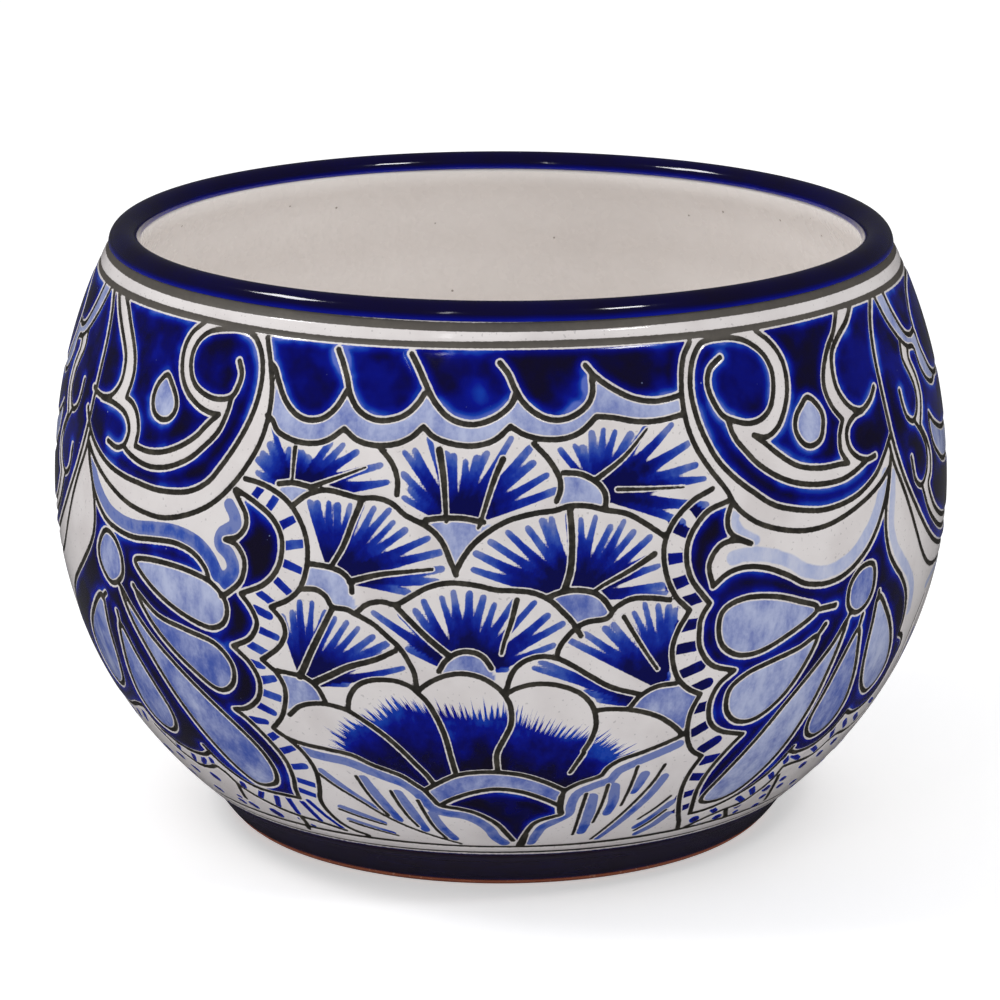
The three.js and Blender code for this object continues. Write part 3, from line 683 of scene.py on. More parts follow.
# A shield of cobalt hangs under the rim on each side, between two wings. This is its left half,
# and the right half mirrors it about SHIELD_MIDDLE.
SHIELD_MIDDLE = 86.6
SHIELD_LINES = [
    [(62.3, 189), (59.6, 182), (58.1, 174), (57.6, 165), (57.7, 156), (58.3, 147), (59.8, 138), (62, 130),
     (65.4, 121), (69, 114), (73, 109), (78, 105.4), (83, 103.8), (86.6, 103.4)],
    [(57.2, 147), (57.9, 141), (59.6, 134), (61.4, 127), (63.8, 118), (66.4, 110.4), (69.4, 105),
     (73, 101.8), (78, 100.4), (83, 99.8), (86.6, 99.6)],
    [(63.3, 189), (64.4, 181), (66.4, 174.6), (68.8, 170.4), (71.4, 168.8), (72, 163), (74, 158),
     (77, 155.6), (80, 156.4)],
    [(66.6, 189), (67.5, 181), (69.4, 174.6), (71.6, 172.6), (74, 172.6), (74.6, 167), (77, 160),
     (80.6, 156.4), (86.6, 155.2)],
    [(74, 172.6), (74.8, 178), (77.4, 183), (80.6, 185.4), (84, 186), (86.6, 186)],
    [(66.6, 172.6), (65.9, 168), (67, 163), (67.8, 158.6), (67.4, 153.4), (65.4, 149.8), (63.4, 151.6),
     (62.6, 155.4), (62.4, 160)],
    [(69, 170.4), (68.1, 167), (69.2, 161), (69.4, 155), (68.2, 150), (67.5, 147), (69.2, 142),
     (70.2, 137), (69.8, 132), (68.6, 128.6), (71, 121.4), (74.6, 116.6), (78.6, 113.8), (83, 112.6),
     (86.6, 112.4)],
    [(65.4, 149.8), (67.6, 144.6), (68.8, 139), (68.2, 133.4), (66, 130.2), (63.8, 133), (63, 140)],
    [(66, 130.2), (68.6, 121.4), (72.6, 115), (77, 111.2), (82, 109.6), (86.6, 109.2)],
    [(71.6, 148.6), (74, 144.6), (78, 141), (82.4, 139.4), (86.6, 139)],
    [(71.6, 148.6), (71.4, 144.4), (72.4, 139), (74.6, 135), (77.6, 131.6), (82, 130), (86.6, 129.6)],
    # foot of the shield: a small spray between the wings
    [(86.6, 93), (83.6, 88), (82, 80), (82.6, 70), (86.6, 60)],
    [(80.4, 95), (76.6, 88), (75, 78), (76.6, 66), (81, 55), (86.6, 47)],
    [(73, 92), (71, 84), (70.8, 74), (72.8, 62), (77, 51), (82, 42), (86.6, 37.4)],
]
# Strokes brushed under the shield, pale bands, and separate dots, as for the front above.
SHIELD_STROKES = [
    ([(79.4, 86), (78.6, 78), (79.6, 68), (82.6, 59)], 1.5),
    ([(73.6, 80), (73.8, 70), (76.2, 59), (80, 49.6)], 1.5),
]
SHIELD_PALE = [
    ([(72, 96), (76, 98.2), (81, 97.4), (86.6, 97)], 1.5),
]
SHIELD_DASHES = [
    ([(73.4, 36), (73, 33.4)], 1.4, 1.4), ([(77.4, 30.4), (77, 28.4)], 1.4, 1.4),
    ([(69.4, 40.4), (69, 38)], 1.4, 1.4), ([(82, 30), (81.8, 28.6)], 1.5, 1.5),
    ([(70.8, 29.4), (70.4, 28.2)], 1.3, 1.3), ([(66.4, 33.8), (66, 32.6)], 1.4, 1.4),
]
SHIELD_COBALT = [
    (61, 175), (61, 150), (70, 182), (66, 159), (66.4, 140), (80, 170), (72.6, 155), (84, 148),
    (76, 125), (72, 111.5), (86, 80), (71.6, 125), (80, 107),
]
SHIELD_WASH = [(66, 180), (74, 163), (85, 134)]


# ---------------------------------------------------------------- painting the wall

GROUPS = (0.0, 180.0)           # the front's panel and wings are painted again at the back
RING_WAVE = 0.22                # how far the rings round the pot wander
FAN_REACH = 45.0                # longest stroke that is looked for
FAN_START = 14.0                # farthest from its base that a stroke may begin
FAN_EDGE = -0.3                 # how deep into the edge of an outline a stroke may run
FAN_GAP = 2.4                   # width of an outline that a stroke may cross
FAN_SHORTEST = 4.0              # shorter strokes are left out
FAN_STEP = 0.4                  # steps in which the edge is looked for
DASH_LOOK = 9.0                 # how far along a border its direction is taken from
DASH_TILT = 7.0                 # how many degrees a dash may lean
VEIN_START, VEIN_END = 0.62, 0.5    # half width of a leaf's vein
SHELL_WIDTH = 40                # degrees to each side of its heart that the shell may reach


def front_and_back(points):
    """Points of the front, and the same points at the back."""
    return [turned_by(points, group) for group in GROUPS]


def both_shields(points):
    """Points of the shield's left half and its mirror image, on both sides of the pot."""
    centred = turned_by(points, -SHIELD_MIDDLE)
    return [turned_by(centred, SHIELD_MIDDLE - group, mirror)
            for group in GROUPS for mirror in (False, True)]


def fan_strokes(canvas, inside, beyond, base, angles, count):
    """Brush strokes that spread from a base to just short of the fan's edge. They run together near
    the base, where the glaze pools. `inside` is the fan's cell, and `beyond` the cells around it."""
    mm = BELLY_MM_PER_DEG
    for n in range(count):
        share = (n + 0.5 + rng.uniform(-0.2, 0.2)) / count
        angle = math.radians(angles[0] + (angles[1] - angles[0]) * share)
        way = np.array([math.cos(angle) / mm, math.sin(angle)])
        reach, met = 0.0, 0.0
        while reach < FAN_REACH:
            i, j = canvas.locate(*(np.array(base) + way * reach))
            if inside[i, j] and canvas.outline[i, j] > FAN_EDGE:
                met = reach
            elif met and (beyond[i, j] or reach - met > FAN_GAP):
                break
            elif not met and reach > FAN_START:
                break
            reach += FAN_STEP
        if met < FAN_SHORTEST:
            continue
        tip = met - rng.uniform(1.0, 3.4)
        side = np.array([-math.sin(angle) / mm, math.cos(angle)]) * rng.uniform(-0.5, 0.5)
        merge = tip * rng.uniform(0.4, 0.54)
        turn = math.radians(abs(angles[1] - angles[0])) / count
        wide = max(0.8, merge * turn / 2 + 0.1)
        inner = bowed(base, way * tip, side, 0.02, merge / tip)
        outer = bowed(base, way * tip, side, merge / tip, 1)
        canvas.draw(canvas.brush, inner, wide, wide, inside, (1.15, 0.6))
        canvas.draw(canvas.brush, outer, wide, rng.uniform(0.75, 1.1), inside, (0.6, -0.1))


def bowed(base, way, side, first, last):
    """Part of a slightly bowed path out from a base, between two shares of its length."""
    shares = np.linspace(first, last, 7)
    return [np.array(base) + way * t + side * 4 * t * (1 - t) for t in shares]


def lay_dashes(canvas, path, spacing, length, half, wet, inside):
    """Short strokes across a border, one after another along its middle line."""
    flat = path * (BELLY_MM_PER_DEG, 1)
    run = np.concatenate([[0], np.cumsum(np.hypot(*np.diff(flat, axis=0).T))])

    def place_at(distance):
        """Where the border's middle line is, in millimetres both ways."""
        return np.array([np.interp(distance, run, flat[:, 0]), np.interp(distance, run, flat[:, 1])])

    place = spacing / 2
    while place < run[-1]:
        along = place_at(place + DASH_LOOK) - place_at(place - DASH_LOOK)
        along /= np.linalg.norm(along)
        tilt = math.radians(rng.uniform(-DASH_TILT, DASH_TILT))
        across = np.array([-along[1] * math.cos(tilt) - along[0] * math.sin(tilt),
                           along[0] * math.cos(tilt) - along[1] * math.sin(tilt)])
        reach = across * length / 2 * rng.uniform(0.85, 1.1)
        ends = [(place_at(place) + k * reach) / (BELLY_MM_PER_DEG, 1) for k in (-1, 1)]
        start = wet + rng.uniform(-0.15, 0.2)
        canvas.draw(canvas.brush, ends, half * rng.uniform(0.9, 1.15), half * rng.uniform(0.8, 1.05),
                    inside, (start, start * 0.7))
        place += spacing * rng.uniform(0.85, 1.15)


def shell_polar(across, up):
    """Distance from the heart of the shell, and angle from its left over the top in degrees."""
    return np.hypot(across, up), np.degrees(np.arctan2(up, -across))


def petal_measures(shape):
    """How far each place lies beyond the brushed front of the shell's petals, and its angle there."""
    over = np.full(shape, -REACH)
    turn = np.zeros(shape)
    front = (np.array(PETAL_FRONT) - SHELL_HEART) * (BELLY_MM_PER_DEG, 1)
    front_radius, front_angle = shell_polar(front[:, 0], front[:, 1])
    for group in GROUPS:
        away = turns_from(SHELL_HEART[0] + group)
        radius, angle = shell_polar(away * BELLY_MM_PER_DEG, HEIGHTS[:, None] - SHELL_HEART[1])
        near = np.abs(away) < SHELL_WIDTH
        over = np.where(near, radius - np.interp(angle, front_angle, front_radius), over)
        turn = np.where(near, angle, turn)
    return over, turn


def turns_from(a):
    """Degrees of each column from a place round the pot, the short way."""
    return (TURNS[None, :] - a + 180) % 360 - 180


def draw_outlines(canvas):
    """The outlines that part one cell from another."""
    for points in PANEL_LINES + LEFT_WING_LINES + RIGHT_WING_LINES:
        for copy in front_and_back(points):
            canvas.draw(canvas.outline, smooth(copy), LINE)
    for points in LEFT_WING_LOOPS + RIGHT_WING_LOOPS:
        for copy in front_and_back(points):
            canvas.draw(canvas.outline, smooth(copy, True), LINE)
    for points in SHIELD_LINES:
        for copy in both_shields(points):
            canvas.draw(canvas.outline, smooth(copy), LINE)
    for height, half in RINGS:
        canvas.outline = np.minimum(canvas.outline, ring(height, half))


def fill_cells(canvas):
    """Labels the cells, and says which places are shut off by an outline."""
    fills = [(COBALT_CELLS, COBALT, front_and_back), (WASH_CELLS, WASH, front_and_back),
             (DEEP_CELLS, DEEP, front_and_back), (PETAL_CELLS, PETAL, front_and_back),
             (SHIELD_COBALT, COBALT, both_shields), (SHIELD_WASH, WASH, both_shields)]
    fills += [(fan[0], FAN + n, front_and_back) for n, fan in enumerate(FANS)]
    seeds = []
    for places, value, copies in fills:
        for copy in copies(places):
            seeds += [(canvas.locate(a, s), value) for a, s in copy]
    fences = canvas.blank()
    for points in FENCES:
        for copy in front_and_back(points):
            canvas.draw(fences, copy, LINE)
    closed = np.minimum(canvas.outline, fences) < CLOSE
    return flood(closed, seeds), closed


def brush_group(canvas, label, closed, group):
    """Everything brushed on the panel and wings of the front or the back, but for what fills cells."""
    def moved(points):
        """The smooth path through points of the front, in this group's place."""
        return smooth(turned_by(points, group))

    plain = label == PLAIN
    unfilled = ~np.isin(label, (COBALT, WASH, DEEP, PETAL))
    for n, (_, base, angles, count) in enumerate(FANS):
        inside = label == FAN + n
        fan_strokes(canvas, inside, ~closed & ~inside, turned_by([base], group)[0], angles, count)
    for points, half in LEAF_STROKES:
        canvas.draw(canvas.brush, moved(points), half * 1.15, half * 0.9, None, (-0.4, 0.0))
    for points, start, end in PANEL_ACCENTS + LEFT_WING_ACCENTS + RIGHT_WING_ACCENTS:
        canvas.draw(canvas.outline, moved(points), start, end)
    for points in LEAF_VEINS:
        canvas.draw(canvas.outline, moved(points), VEIN_START, VEIN_END)
    for points, half in SHELL_BANDS:
        canvas.draw(canvas.brush, moved(points), half, half, plain, (-0.3, -0.1))
    for points, half in LEFT_PALE_BANDS:
        canvas.draw(canvas.brush, moved(points), half, half * 1.2, plain, (-0.4, 0.0))
    for points, half in RIGHT_PALE_BANDS:
        canvas.draw(canvas.pale, moved(points), half)
    for points, start, end in WING_DASHES:
        canvas.draw(canvas.cobalt, turned_by(points, group), start, end)
    for points, spacing, length, half, wet in BORDER_DASHES:
        lay_dashes(canvas, moved(points), spacing, length, half, wet, unfilled)
    for (a, s), radius, amount in THIN_SPOTS:
        far = np.hypot(turns_from(a + group) * BELLY_MM_PER_DEG, HEIGHTS[:, None] - s) / radius
        canvas.soak -= amount * np.exp(-far ** 2) * (label == COBALT)


def brush_shields(canvas):
    """The strokes and dashes under both shields."""
    for points, half in SHIELD_STROKES:
        for copy in both_shields(points):
            canvas.draw(canvas.brush, smooth(copy), half, half * 0.6, None, (0.1, 0.5))
    for points, half in SHIELD_PALE:
        for copy in both_shields(points):
            canvas.draw(canvas.pale, smooth(copy), half)
    for points, start, end in SHIELD_DASHES:
        for copy in both_shields(points):
            canvas.draw(canvas.cobalt, copy, start, end)


def paint():
    """The whole painting: the canvas, the label of each cell, and the petals' two measures."""
    canvas = Canvas()
    draw_outlines(canvas)
    label, closed = fill_cells(canvas)
    for group in GROUPS:
        brush_group(canvas, label, closed, group)
    brush_shields(canvas)
    canvas.brush = soften(canvas.brush)
    return canvas, label, *petal_measures(canvas.shape)


# ---------------------------------------------------------------- meshes

def step(values, low, high):
    """Smooth step between two values."""
    t = np.clip((values - low) / (high - low), 0, 1)
    return t * t * (3 - 2 * t)


def mesh_piece(name, points, faces, material):
    """A piece from points in millimetres, with points that coincide made one."""
    mesh = bpy.data.meshes.new(name)
    mesh.from_pydata((np.asarray(points) * MM).tolist(), [], faces)
    mesh.materials.append(material)
    welded = bmesh.new()
    welded.from_mesh(mesh)
    bmesh.ops.remove_doubles(welded, verts=welded.verts, dist=0.001 * MM)
    welded.to_mesh(mesh)
    welded.free()
    mesh.shade_smooth()
    return placed(name, mesh)


def placed(name, mesh):
    """A mesh as an object of the scene."""
    piece = bpy.data.objects.new(name, mesh)
    bpy.context.scene.collection.objects.link(piece)
    return piece


def grid_mesh(name, points, material, marks, normals):
    """A piece from a grid of points, rows by columns, with a map laid square over it. `marks` are
    the painting's values at each point."""
    rows, cols = points.shape[:2]
    mesh = bpy.data.meshes.new(name)
    count = (rows - 1) * (cols - 1)
    mesh.vertices.add(rows * cols)
    mesh.vertices.foreach_set("co", (points * MM).astype(np.float32).ravel())
    first = (np.arange(rows - 1)[:, None] * cols + np.arange(cols - 1)[None, :]).ravel()
    corners = np.stack([first, first + 1, first + cols + 1, first + cols], 1)
    mesh.loops.add(count * 4)
    mesh.loops.foreach_set("vertex_index", corners.ravel().astype(np.int32))
    mesh.polygons.add(count)
    mesh.polygons.foreach_set("loop_start", np.arange(0, count * 4, 4, dtype=np.int32))
    mesh.update(calc_edges=True)
    across = np.linspace(0.01, 0.99, cols)
    up = np.linspace(0.01, 0.99, rows)
    places = np.stack([np.tile(across, rows), np.repeat(up, cols)], 1)
    layer = mesh.uv_layers.new(name="OFBake")
    layer.data.foreach_set("uv", places[corners.ravel()].astype(np.float32).ravel())
    for mark, values in marks.items():
        attribute = mesh.attributes.new(mark, "FLOAT", "POINT")
        attribute.data.foreach_set("value", values.astype(np.float32).ravel())
    mesh.materials.append(material)
    mesh.validate()
    mesh.shade_smooth()
    mesh.normals_split_custom_set_from_vertices(normals.reshape(-1, 3).tolist())
    return placed(name, mesh)


def turned_piece(name, section, material, sides=288, waviness=0.0):
    """Turns a closed section about the pot's axis. Waviness is how far a hand-thrown edge wanders."""
    section = np.asarray(section, float)
    angles = np.radians(np.arange(sides) * 360 / sides)
    wander = 0.6 * np.sin(2 * angles + 0.4) + 0.3 * np.sin(5 * angles + 1) + 0.1 * np.sin(11 * angles)
    points, faces = [], []
    count = len(section)
    for angle, shift in zip(angles, wander * waviness):
        for r, z in section:
            r_here = r - waviness + shift
            points.append((r_here * math.sin(angle), -r_here * math.cos(angle), z))
    for i in range(sides):
        here, beside = i * count, (i + 1) % sides * count
        for k in range(count):
            above = (k + 1) % count
            faces.append((here + k, beside + k, beside + above, here + above))
    return mesh_piece(name, points, faces, material)


def coat_relief(canvas, label, over):
    """How far each place of the painted coat stands out of the wall."""
    outline = canvas.outline
    a = np.radians(TURNS)[None, :]
    s = HEIGHTS[:, None]
    swell = SWELL * (np.sin(3 * a + s / 31) * 0.5 + np.sin(5 * a - s / 17) * 0.3 + np.sin(s / 7.5) * 0.2)
    filled = step(outline, 0.2, 1.6)
    thick = np.maximum((label == COBALT) * filled, 0.7 * step(-canvas.cobalt, -0.3, 0.5))
    thick = np.maximum(thick, (label == PETAL) * filled * step(-over, -3, 3))
    thick = np.maximum(thick, 0.45 * np.isin(label, (WASH, DEEP)) * step(outline, 0.2, 1.4))
    return -SKIN + swell + COBALT_RISE * (thick - 0.5) - GROOVE * (1 - step(outline, -0.45, 0.35))


def wall_sectors(canvas, label, over, turn, material):
    """The painted coat, in four quarters whose edges meet."""
    a = np.radians(TURNS)[None, :]
    s = HEIGHTS[:, None]
    tuck = step(s, HEIGHTS[-1] - 1.8, HEIGHTS[-1] - 0.2)
    relief = coat_relief(canvas, label, over) - TUCK * tuck
    r = np.interp(HEIGHTS, SECTION_S, SECTION[:, 0])[:, None]
    z = np.interp(HEIGHTS, SECTION_S, SECTION[:, 1])[:, None]
    slope_r, slope_z = np.gradient(r[:, 0], HEIGHTS)[:, None], np.gradient(z[:, 0], HEIGHTS)[:, None]
    length = np.hypot(slope_r, slope_z)
    r, z = r + relief * slope_z / length, z - relief * slope_r / length + TUCK_RISE * tuck
    points = np.stack([r * np.sin(a), -r * np.cos(a), np.broadcast_to(z, r.shape)], -1)
    around = np.roll(points, -1, 1) - np.roll(points, 1, 1)
    normals = np.cross(around, np.gradient(points, axis=0))
    normals /= np.linalg.norm(normals, axis=-1, keepdims=True)
    marks = {
        "outline": canvas.outline, "brush": canvas.brush, "soak": canvas.soak, "stroke": canvas.cobalt,
        "pale": canvas.pale, "cobalt": label == COBALT, "wash": np.isin(label, (WASH, DEEP)),
        "deep": label == DEEP, "petal": label == PETAL, "over": over, "turn": turn,
        "height": np.broadcast_to(s, label.shape),
    }
    quarter = COLUMNS // 4
    pieces = []
    for n, side in enumerate(("back", "left", "front", "right")):
        start = int(round((-225 + 90 * n + 180) / 360 * COLUMNS))
        cols = np.arange(start, start + quarter + 1) % COLUMNS
        here = {mark: values[:, cols] for mark, values in marks.items()}
        pieces.append(grid_mesh("painted_coat_" + side, points[:, cols], material, here, normals[:, cols]))
    return pieces


# ---------------------------------------------------------------- finishes

# A Mix node has a socket for each kind of value. These are the ones for its share and its two
# colours, and for the colour that comes out.
SHARE, UNDER_COLOUR, OVER_COLOUR, MIXED_COLOUR = 0, 6, 7, 2


class Value:
    """A number that varies over a surface. Arithmetic on it adds Math nodes."""

    def __init__(self, finish, socket):
        self.finish = finish
        self.socket = socket

    def math(self, operation, *others):
        """Adds one Math node that works on this number and the others."""
        inputs = dict(enumerate((self, *others)))
        return self.finish.node("ShaderNodeMath", {"operation": operation}, inputs)

    def __add__(self, other):
        return self.math("ADD", other)

    __radd__ = __add__

    def __mul__(self, other):
        return self.math("MULTIPLY", other)

    __rmul__ = __mul__

    def __sub__(self, other):
        return self.math("SUBTRACT", other)

    def __rsub__(self, other):
        return self * -1 + other

    def at_most(self, other):
        """This number, held down to the other."""
        return self.math("MINIMUM", other)

    def at_least(self, other):
        """This number, held up to the other."""
        return self.math("MAXIMUM", other)

    def step(self, low, high):
        """Smooth step from 0 at `low` to 1 at `high`."""
        return self.finish.node("ShaderNodeMapRange", {"interpolation_type": "SMOOTHSTEP"},
                                {0: self, 1: low, 2: high, 3: 0.0, 4: 1.0})


class Finish:
    """A node material under construction."""

    def __init__(self, name):
        self.material = bpy.data.materials.new(name)
        self.material.use_nodes = True
        self.tree = self.material.node_tree
        self.tree.nodes.clear()
        self.place = self.node("ShaderNodeTexCoord", output="Object")

    def node(self, kind, settings=None, inputs=None, output=0):
        """Adds a node: its settings first, then the values or links of its sockets."""
        made = self.tree.nodes.new(kind)
        for key, value in (settings or {}).items():
            if key == "stops":
                ramp = made.color_ramp
                while len(ramp.elements) < len(value):
                    ramp.elements.new(0.5)
                for element, (position, colour) in zip(ramp.elements, value):
                    element.position = position
                    element.color = colour
            else:
                setattr(made, key, value)
        for key, value in (inputs or {}).items():
            if isinstance(value, Value):
                self.tree.links.new(value.socket, made.inputs[key])
            else:
                made.inputs[key].default_value = value
        return Value(self, made.outputs[output]) if made.outputs else None

    def mark(self, name):
        """What the painting says at each place of the surface."""
        return self.node("ShaderNodeAttribute", {"attribute_name": name}, output="Fac")

    def noise(self, size, detail=2.0, roughness=0.5, stretch=None):
        """Soft mottling with spots about `size` millimetres across, from 0 to 1."""
        place = self.place
        if stretch:
            place = self.node("ShaderNodeVectorMath", {"operation": "MULTIPLY"}, {0: place, 1: stretch})
        return self.node("ShaderNodeTexNoise", {}, {"Vector": place, "Scale": 1 / (size * MM),
                                                    "Detail": detail, "Roughness": roughness})

    def mix(self, under, over, share):
        """Two colours, one over the other."""
        return self.node("ShaderNodeMix", {"data_type": "RGBA"},
                         {SHARE: share, UNDER_COLOUR: under, OVER_COLOUR: over}, output=MIXED_COLOUR)

    def bump(self, height, strength, distance, under=None):
        """A relief `distance` millimetres high, over another relief where one is given."""
        inputs = {"Strength": strength, "Distance": distance * MM, "Height": height}
        if under is not None:
            inputs["Normal"] = under
        return self.node("ShaderNodeBump", {}, inputs)

    def surface(self, **sockets):
        """Ends the material with one shader. Names use _ for a space."""
        inputs = {key.replace("_", " "): value for key, value in sockets.items()}
        shader = self.node("ShaderNodeBsdfPrincipled", {}, inputs)
        self.node("ShaderNodeOutputMaterial", {}, {"Surface": shader})
        return self.material


def shade(red, green, blue):
    """A linear colour from its everyday 0-255 values."""
    linear = [c / 255 / 12.92 if c <= 10 else ((c / 255 + 0.055) / 1.055) ** 2.4
              for c in (red, green, blue)]
    return (*linear, 1.0)


def cobalt_colour(finish, thickness):
    """Cobalt glaze: bright where it is thin, nearly black where it has pooled."""
    return finish.node("ShaderNodeValToRGB", {"stops": [
        (0.0, shade(92, 112, 196)), (0.16, shade(16, 62, 172)), (0.36, shade(2, 16, 140)),
        (0.6, shade(2, 3, 98)), (0.82, shade(7, 4, 58)), (1.0, shade(14, 8, 34)),
    ]}, {0: thickness})


def painted_glaze():
    """White tin glaze with the painting on it."""
    f = Finish("painted_glaze")
    outline, height = f.mark("outline"), f.mark("height")
    cloud, mottle, grain = f.noise(16, 3), f.noise(4.5, 3), f.noise(1.1, 2)
    speck = f.noise(0.9, 0).step(0.74, 0.8)

    # bare white glaze with specks, and the pale wash
    white = f.mix(shade(234, 229, 228), shade(214, 207, 206), cloud.step(0.35, 0.75) * 0.6 + mottle * 0.2)
    white = f.mix(white, shade(150, 146, 148), speck * 0.35)

    streak = f.noise(5.5, 5, 0.62, (1.0, 1.0, 0.45))
    wash_tone = (streak * 0.7 + grain * 0.14 + cloud * 0.35 + f.mark("deep") * 0.13).step(0.38, 0.92)
    wash = f.mix(shade(190, 198, 228), shade(70, 92, 174), wash_tone)
    bare = (outline - grain * 0.35).step(0.05, 0.3)
    ragged = (mottle - 0.5) * 0.9
    pale_share = (f.mark("pale") + ragged).step(0.35, -0.35) * bare
    colour = f.mix(white, f.mix(shade(204, 208, 228), shade(140, 158, 210), wash_tone), pale_share * 0.95)
    colour = f.mix(colour, wash, f.mark("wash") * bare)

    # strokes of cobalt, which dry out towards their tips
    brush = f.mark("brush") + (grain - 0.5) * 0.3
    soak = f.mark("soak")
    wet = soak + (mottle - 0.5) * 0.5 + (streak - 0.5) * 0.8 + (grain - 0.5) * 0.16
    wet = wet + (brush * -0.12).at_most(0.16)
    stroke = f.node("ShaderNodeValToRGB", {"stops": [
        (0.0, shade(116, 130, 186)), (0.22, shade(58, 88, 176)), (0.45, shade(18, 48, 160)),
        (0.7, shade(2, 18, 132)), (1.0, shade(4, 6, 76))]}, {0: wet + 0.14})
    colour = f.mix(colour, stroke, brush.step(0.12, -0.12) * bare)

    # the spiked front of the petals' cobalt
    over, turn = f.mark("over"), f.mark("turn")
    teeth = f.node("ShaderNodeTexNoise", {"noise_dimensions": "1D"}, {"W": turn * 0.55, "Detail": 2.0})
    warped = turn + teeth * 3.0
    tooth = f.node("ShaderNodeMath", {"operation": "PINGPONG"}, {0: warped, 1: 1.3}) * 3.9
    taller = f.node("ShaderNodeTexNoise", {"noise_dimensions": "1D"}, {"W": turn * 0.17, "Detail": 1.0})
    tips = over + 2.6 - tooth * (taller * 2.2 - 0.1).at_least(0.4) + (grain - 0.5) * 0.5
    petal = f.mark("petal") * tips.step(0.3, -0.3) * bare

    # thick cobalt that pools away from the edges of its cell, with pin holes
    run = (outline - 0.25).step(0.0, 3.4)
    lower = height.step(160, 120)
    pool = run * 0.5 + cloud.step(0.34, 0.66) * 0.46 + mottle * 0.2 + lower * 0.16 - 0.1 + soak
    pool = pool.at_least(0.0)
    edge = (outline - 0.22 - grain * 0.34).step(0.0, 0.24)
    cell = f.mark("cobalt") * edge
    stroke_edge = f.mark("stroke") + (grain - 0.5) * 0.3
    laid = stroke_edge.step(0.12, -0.12) * bare
    thin = (stroke_edge * -0.42).at_least(0.08).at_most(0.55) + mottle * 0.2
    inward = over * -0.033 + 0.2 + (cloud - 0.5) * 0.8 + (mottle - 0.5) * 0.5 + (streak - 0.5) * 0.7
    inward = inward.at_least(0.15)
    colour = f.mix(colour, cobalt_colour(f, thin), laid)
    colour = f.mix(colour, cobalt_colour(f, inward.at_most(pool * 0.8 + 0.5)), petal)
    pins = f.node("ShaderNodeTexVoronoi", {}, {"Vector": f.place, "Scale": 1 / (5 * MM)}).step(0.07, 0.03)
    pins = pins * mottle.step(0.5, 0.56) * cell
    colour = f.mix(colour, cobalt_colour(f, pool), cell)
    colour = f.mix(colour, shade(150, 164, 214), pins * 0.6)

    # dark outlines, and the cobalt that runs down from the wall's lower edge
    ink = (outline + (grain - 0.5) * 0.3).step(0.1, -0.1)
    line_colour = f.mix(shade(40, 36, 29), shade(74, 69, 58), (mottle + grain * 0.5).step(0.6, 1.1))
    line_colour = f.mix(line_colour, shade(104, 98, 92), height.step(186, 188) * 0.6)
    colour = f.mix(colour, line_colour, ink)
    sill = (height + (grain - 0.5) * 0.6).step(18.6, 18.2)
    colour = f.mix(colour, shade(30, 34, 96), sill)

    roughness = ink * 0.42 + 0.09 + grain * 0.03
    skin = f.bump(f.noise(7, 2) * 0.8 + grain * 0.1, 0.22, 0.35)
    edges = f.bump(ink * -1.0 + grain * ink * 0.8, 0.5, 0.12, skin)
    return f.surface(Base_Color=colour, Roughness=roughness, Normal=edges, IOR=1.5)


def lip_glaze():
    """Thick cobalt on the lip, brighter where it thins over the edges."""
    f = Finish("lip_cobalt")
    height = f.node("ShaderNodeSeparateXYZ", {}, {"Vector": f.place}, output="Z")
    cloud, grain = f.noise(18, 3), f.noise(1.2, 2)
    low = height.step((NECK_Z + 2.6) * MM, (NECK_Z + 0.3) * MM)
    depth = (1 - low) * 0.55 + cloud * 0.3 + 0.22
    colour = cobalt_colour(f, depth.at_least(0.1))
    return f.surface(Base_Color=colour, Roughness=grain * 0.03 + 0.07,
                     Normal=f.bump(f.noise(9, 2), 0.2, 0.5), IOR=1.5)


def foot_glaze():
    """Cobalt brushed on the foot, greyed all over by a painted reflection of the pale floor."""
    f = Finish("foot_cobalt")
    height = f.node("ShaderNodeSeparateXYZ", {}, {"Vector": f.place}, output="Z")
    cloud, streak, grain = f.noise(14, 3), f.noise(7, 2, stretch=(1.0, 1.0, 6.0)), f.noise(1.1, 2)
    rim = height.step(3.4 * MM, 2.0 * MM)
    depth = cloud * 0.5 + streak * 0.4 + 0.46 - rim * 0.3
    # painted reflection: a grey haze mixed into the cobalt stands in for the pale floor mirrored in the
    # foot's glaze
    colour = f.mix(cobalt_colour(f, depth.at_least(0.1)), shade(66, 60, 70), 0.45)
    return f.surface(Base_Color=colour, Roughness=grain * 0.05 + 0.13,
                     Normal=f.bump(f.noise(5, 2), 0.25, 0.4), IOR=1.5)


def lining_glaze():
    """Plain off-white glaze, uneven, with pin holes."""
    f = Finish("lining_glaze")
    cloud, mottle = f.noise(34, 4), f.noise(6, 3)
    holes = f.node("ShaderNodeTexVoronoi", {}, {"Vector": f.place, "Scale": 1 / (9 * MM)}).step(0.055, 0.03)
    colour = f.mix(shade(252, 248, 245), shade(236, 230, 226), cloud * 0.6 + mottle * 0.35)
    colour = f.mix(colour, shade(120, 100, 90), holes * 0.7)
    skin = f.bump(f.noise(12, 3) + mottle * 0.3, 0.35, 0.9)
    return f.surface(Base_Color=colour, Roughness=mottle * 0.14 + 0.2,
                     Normal=f.bump(holes * -1.0, 0.6, 0.3, skin), IOR=1.48)


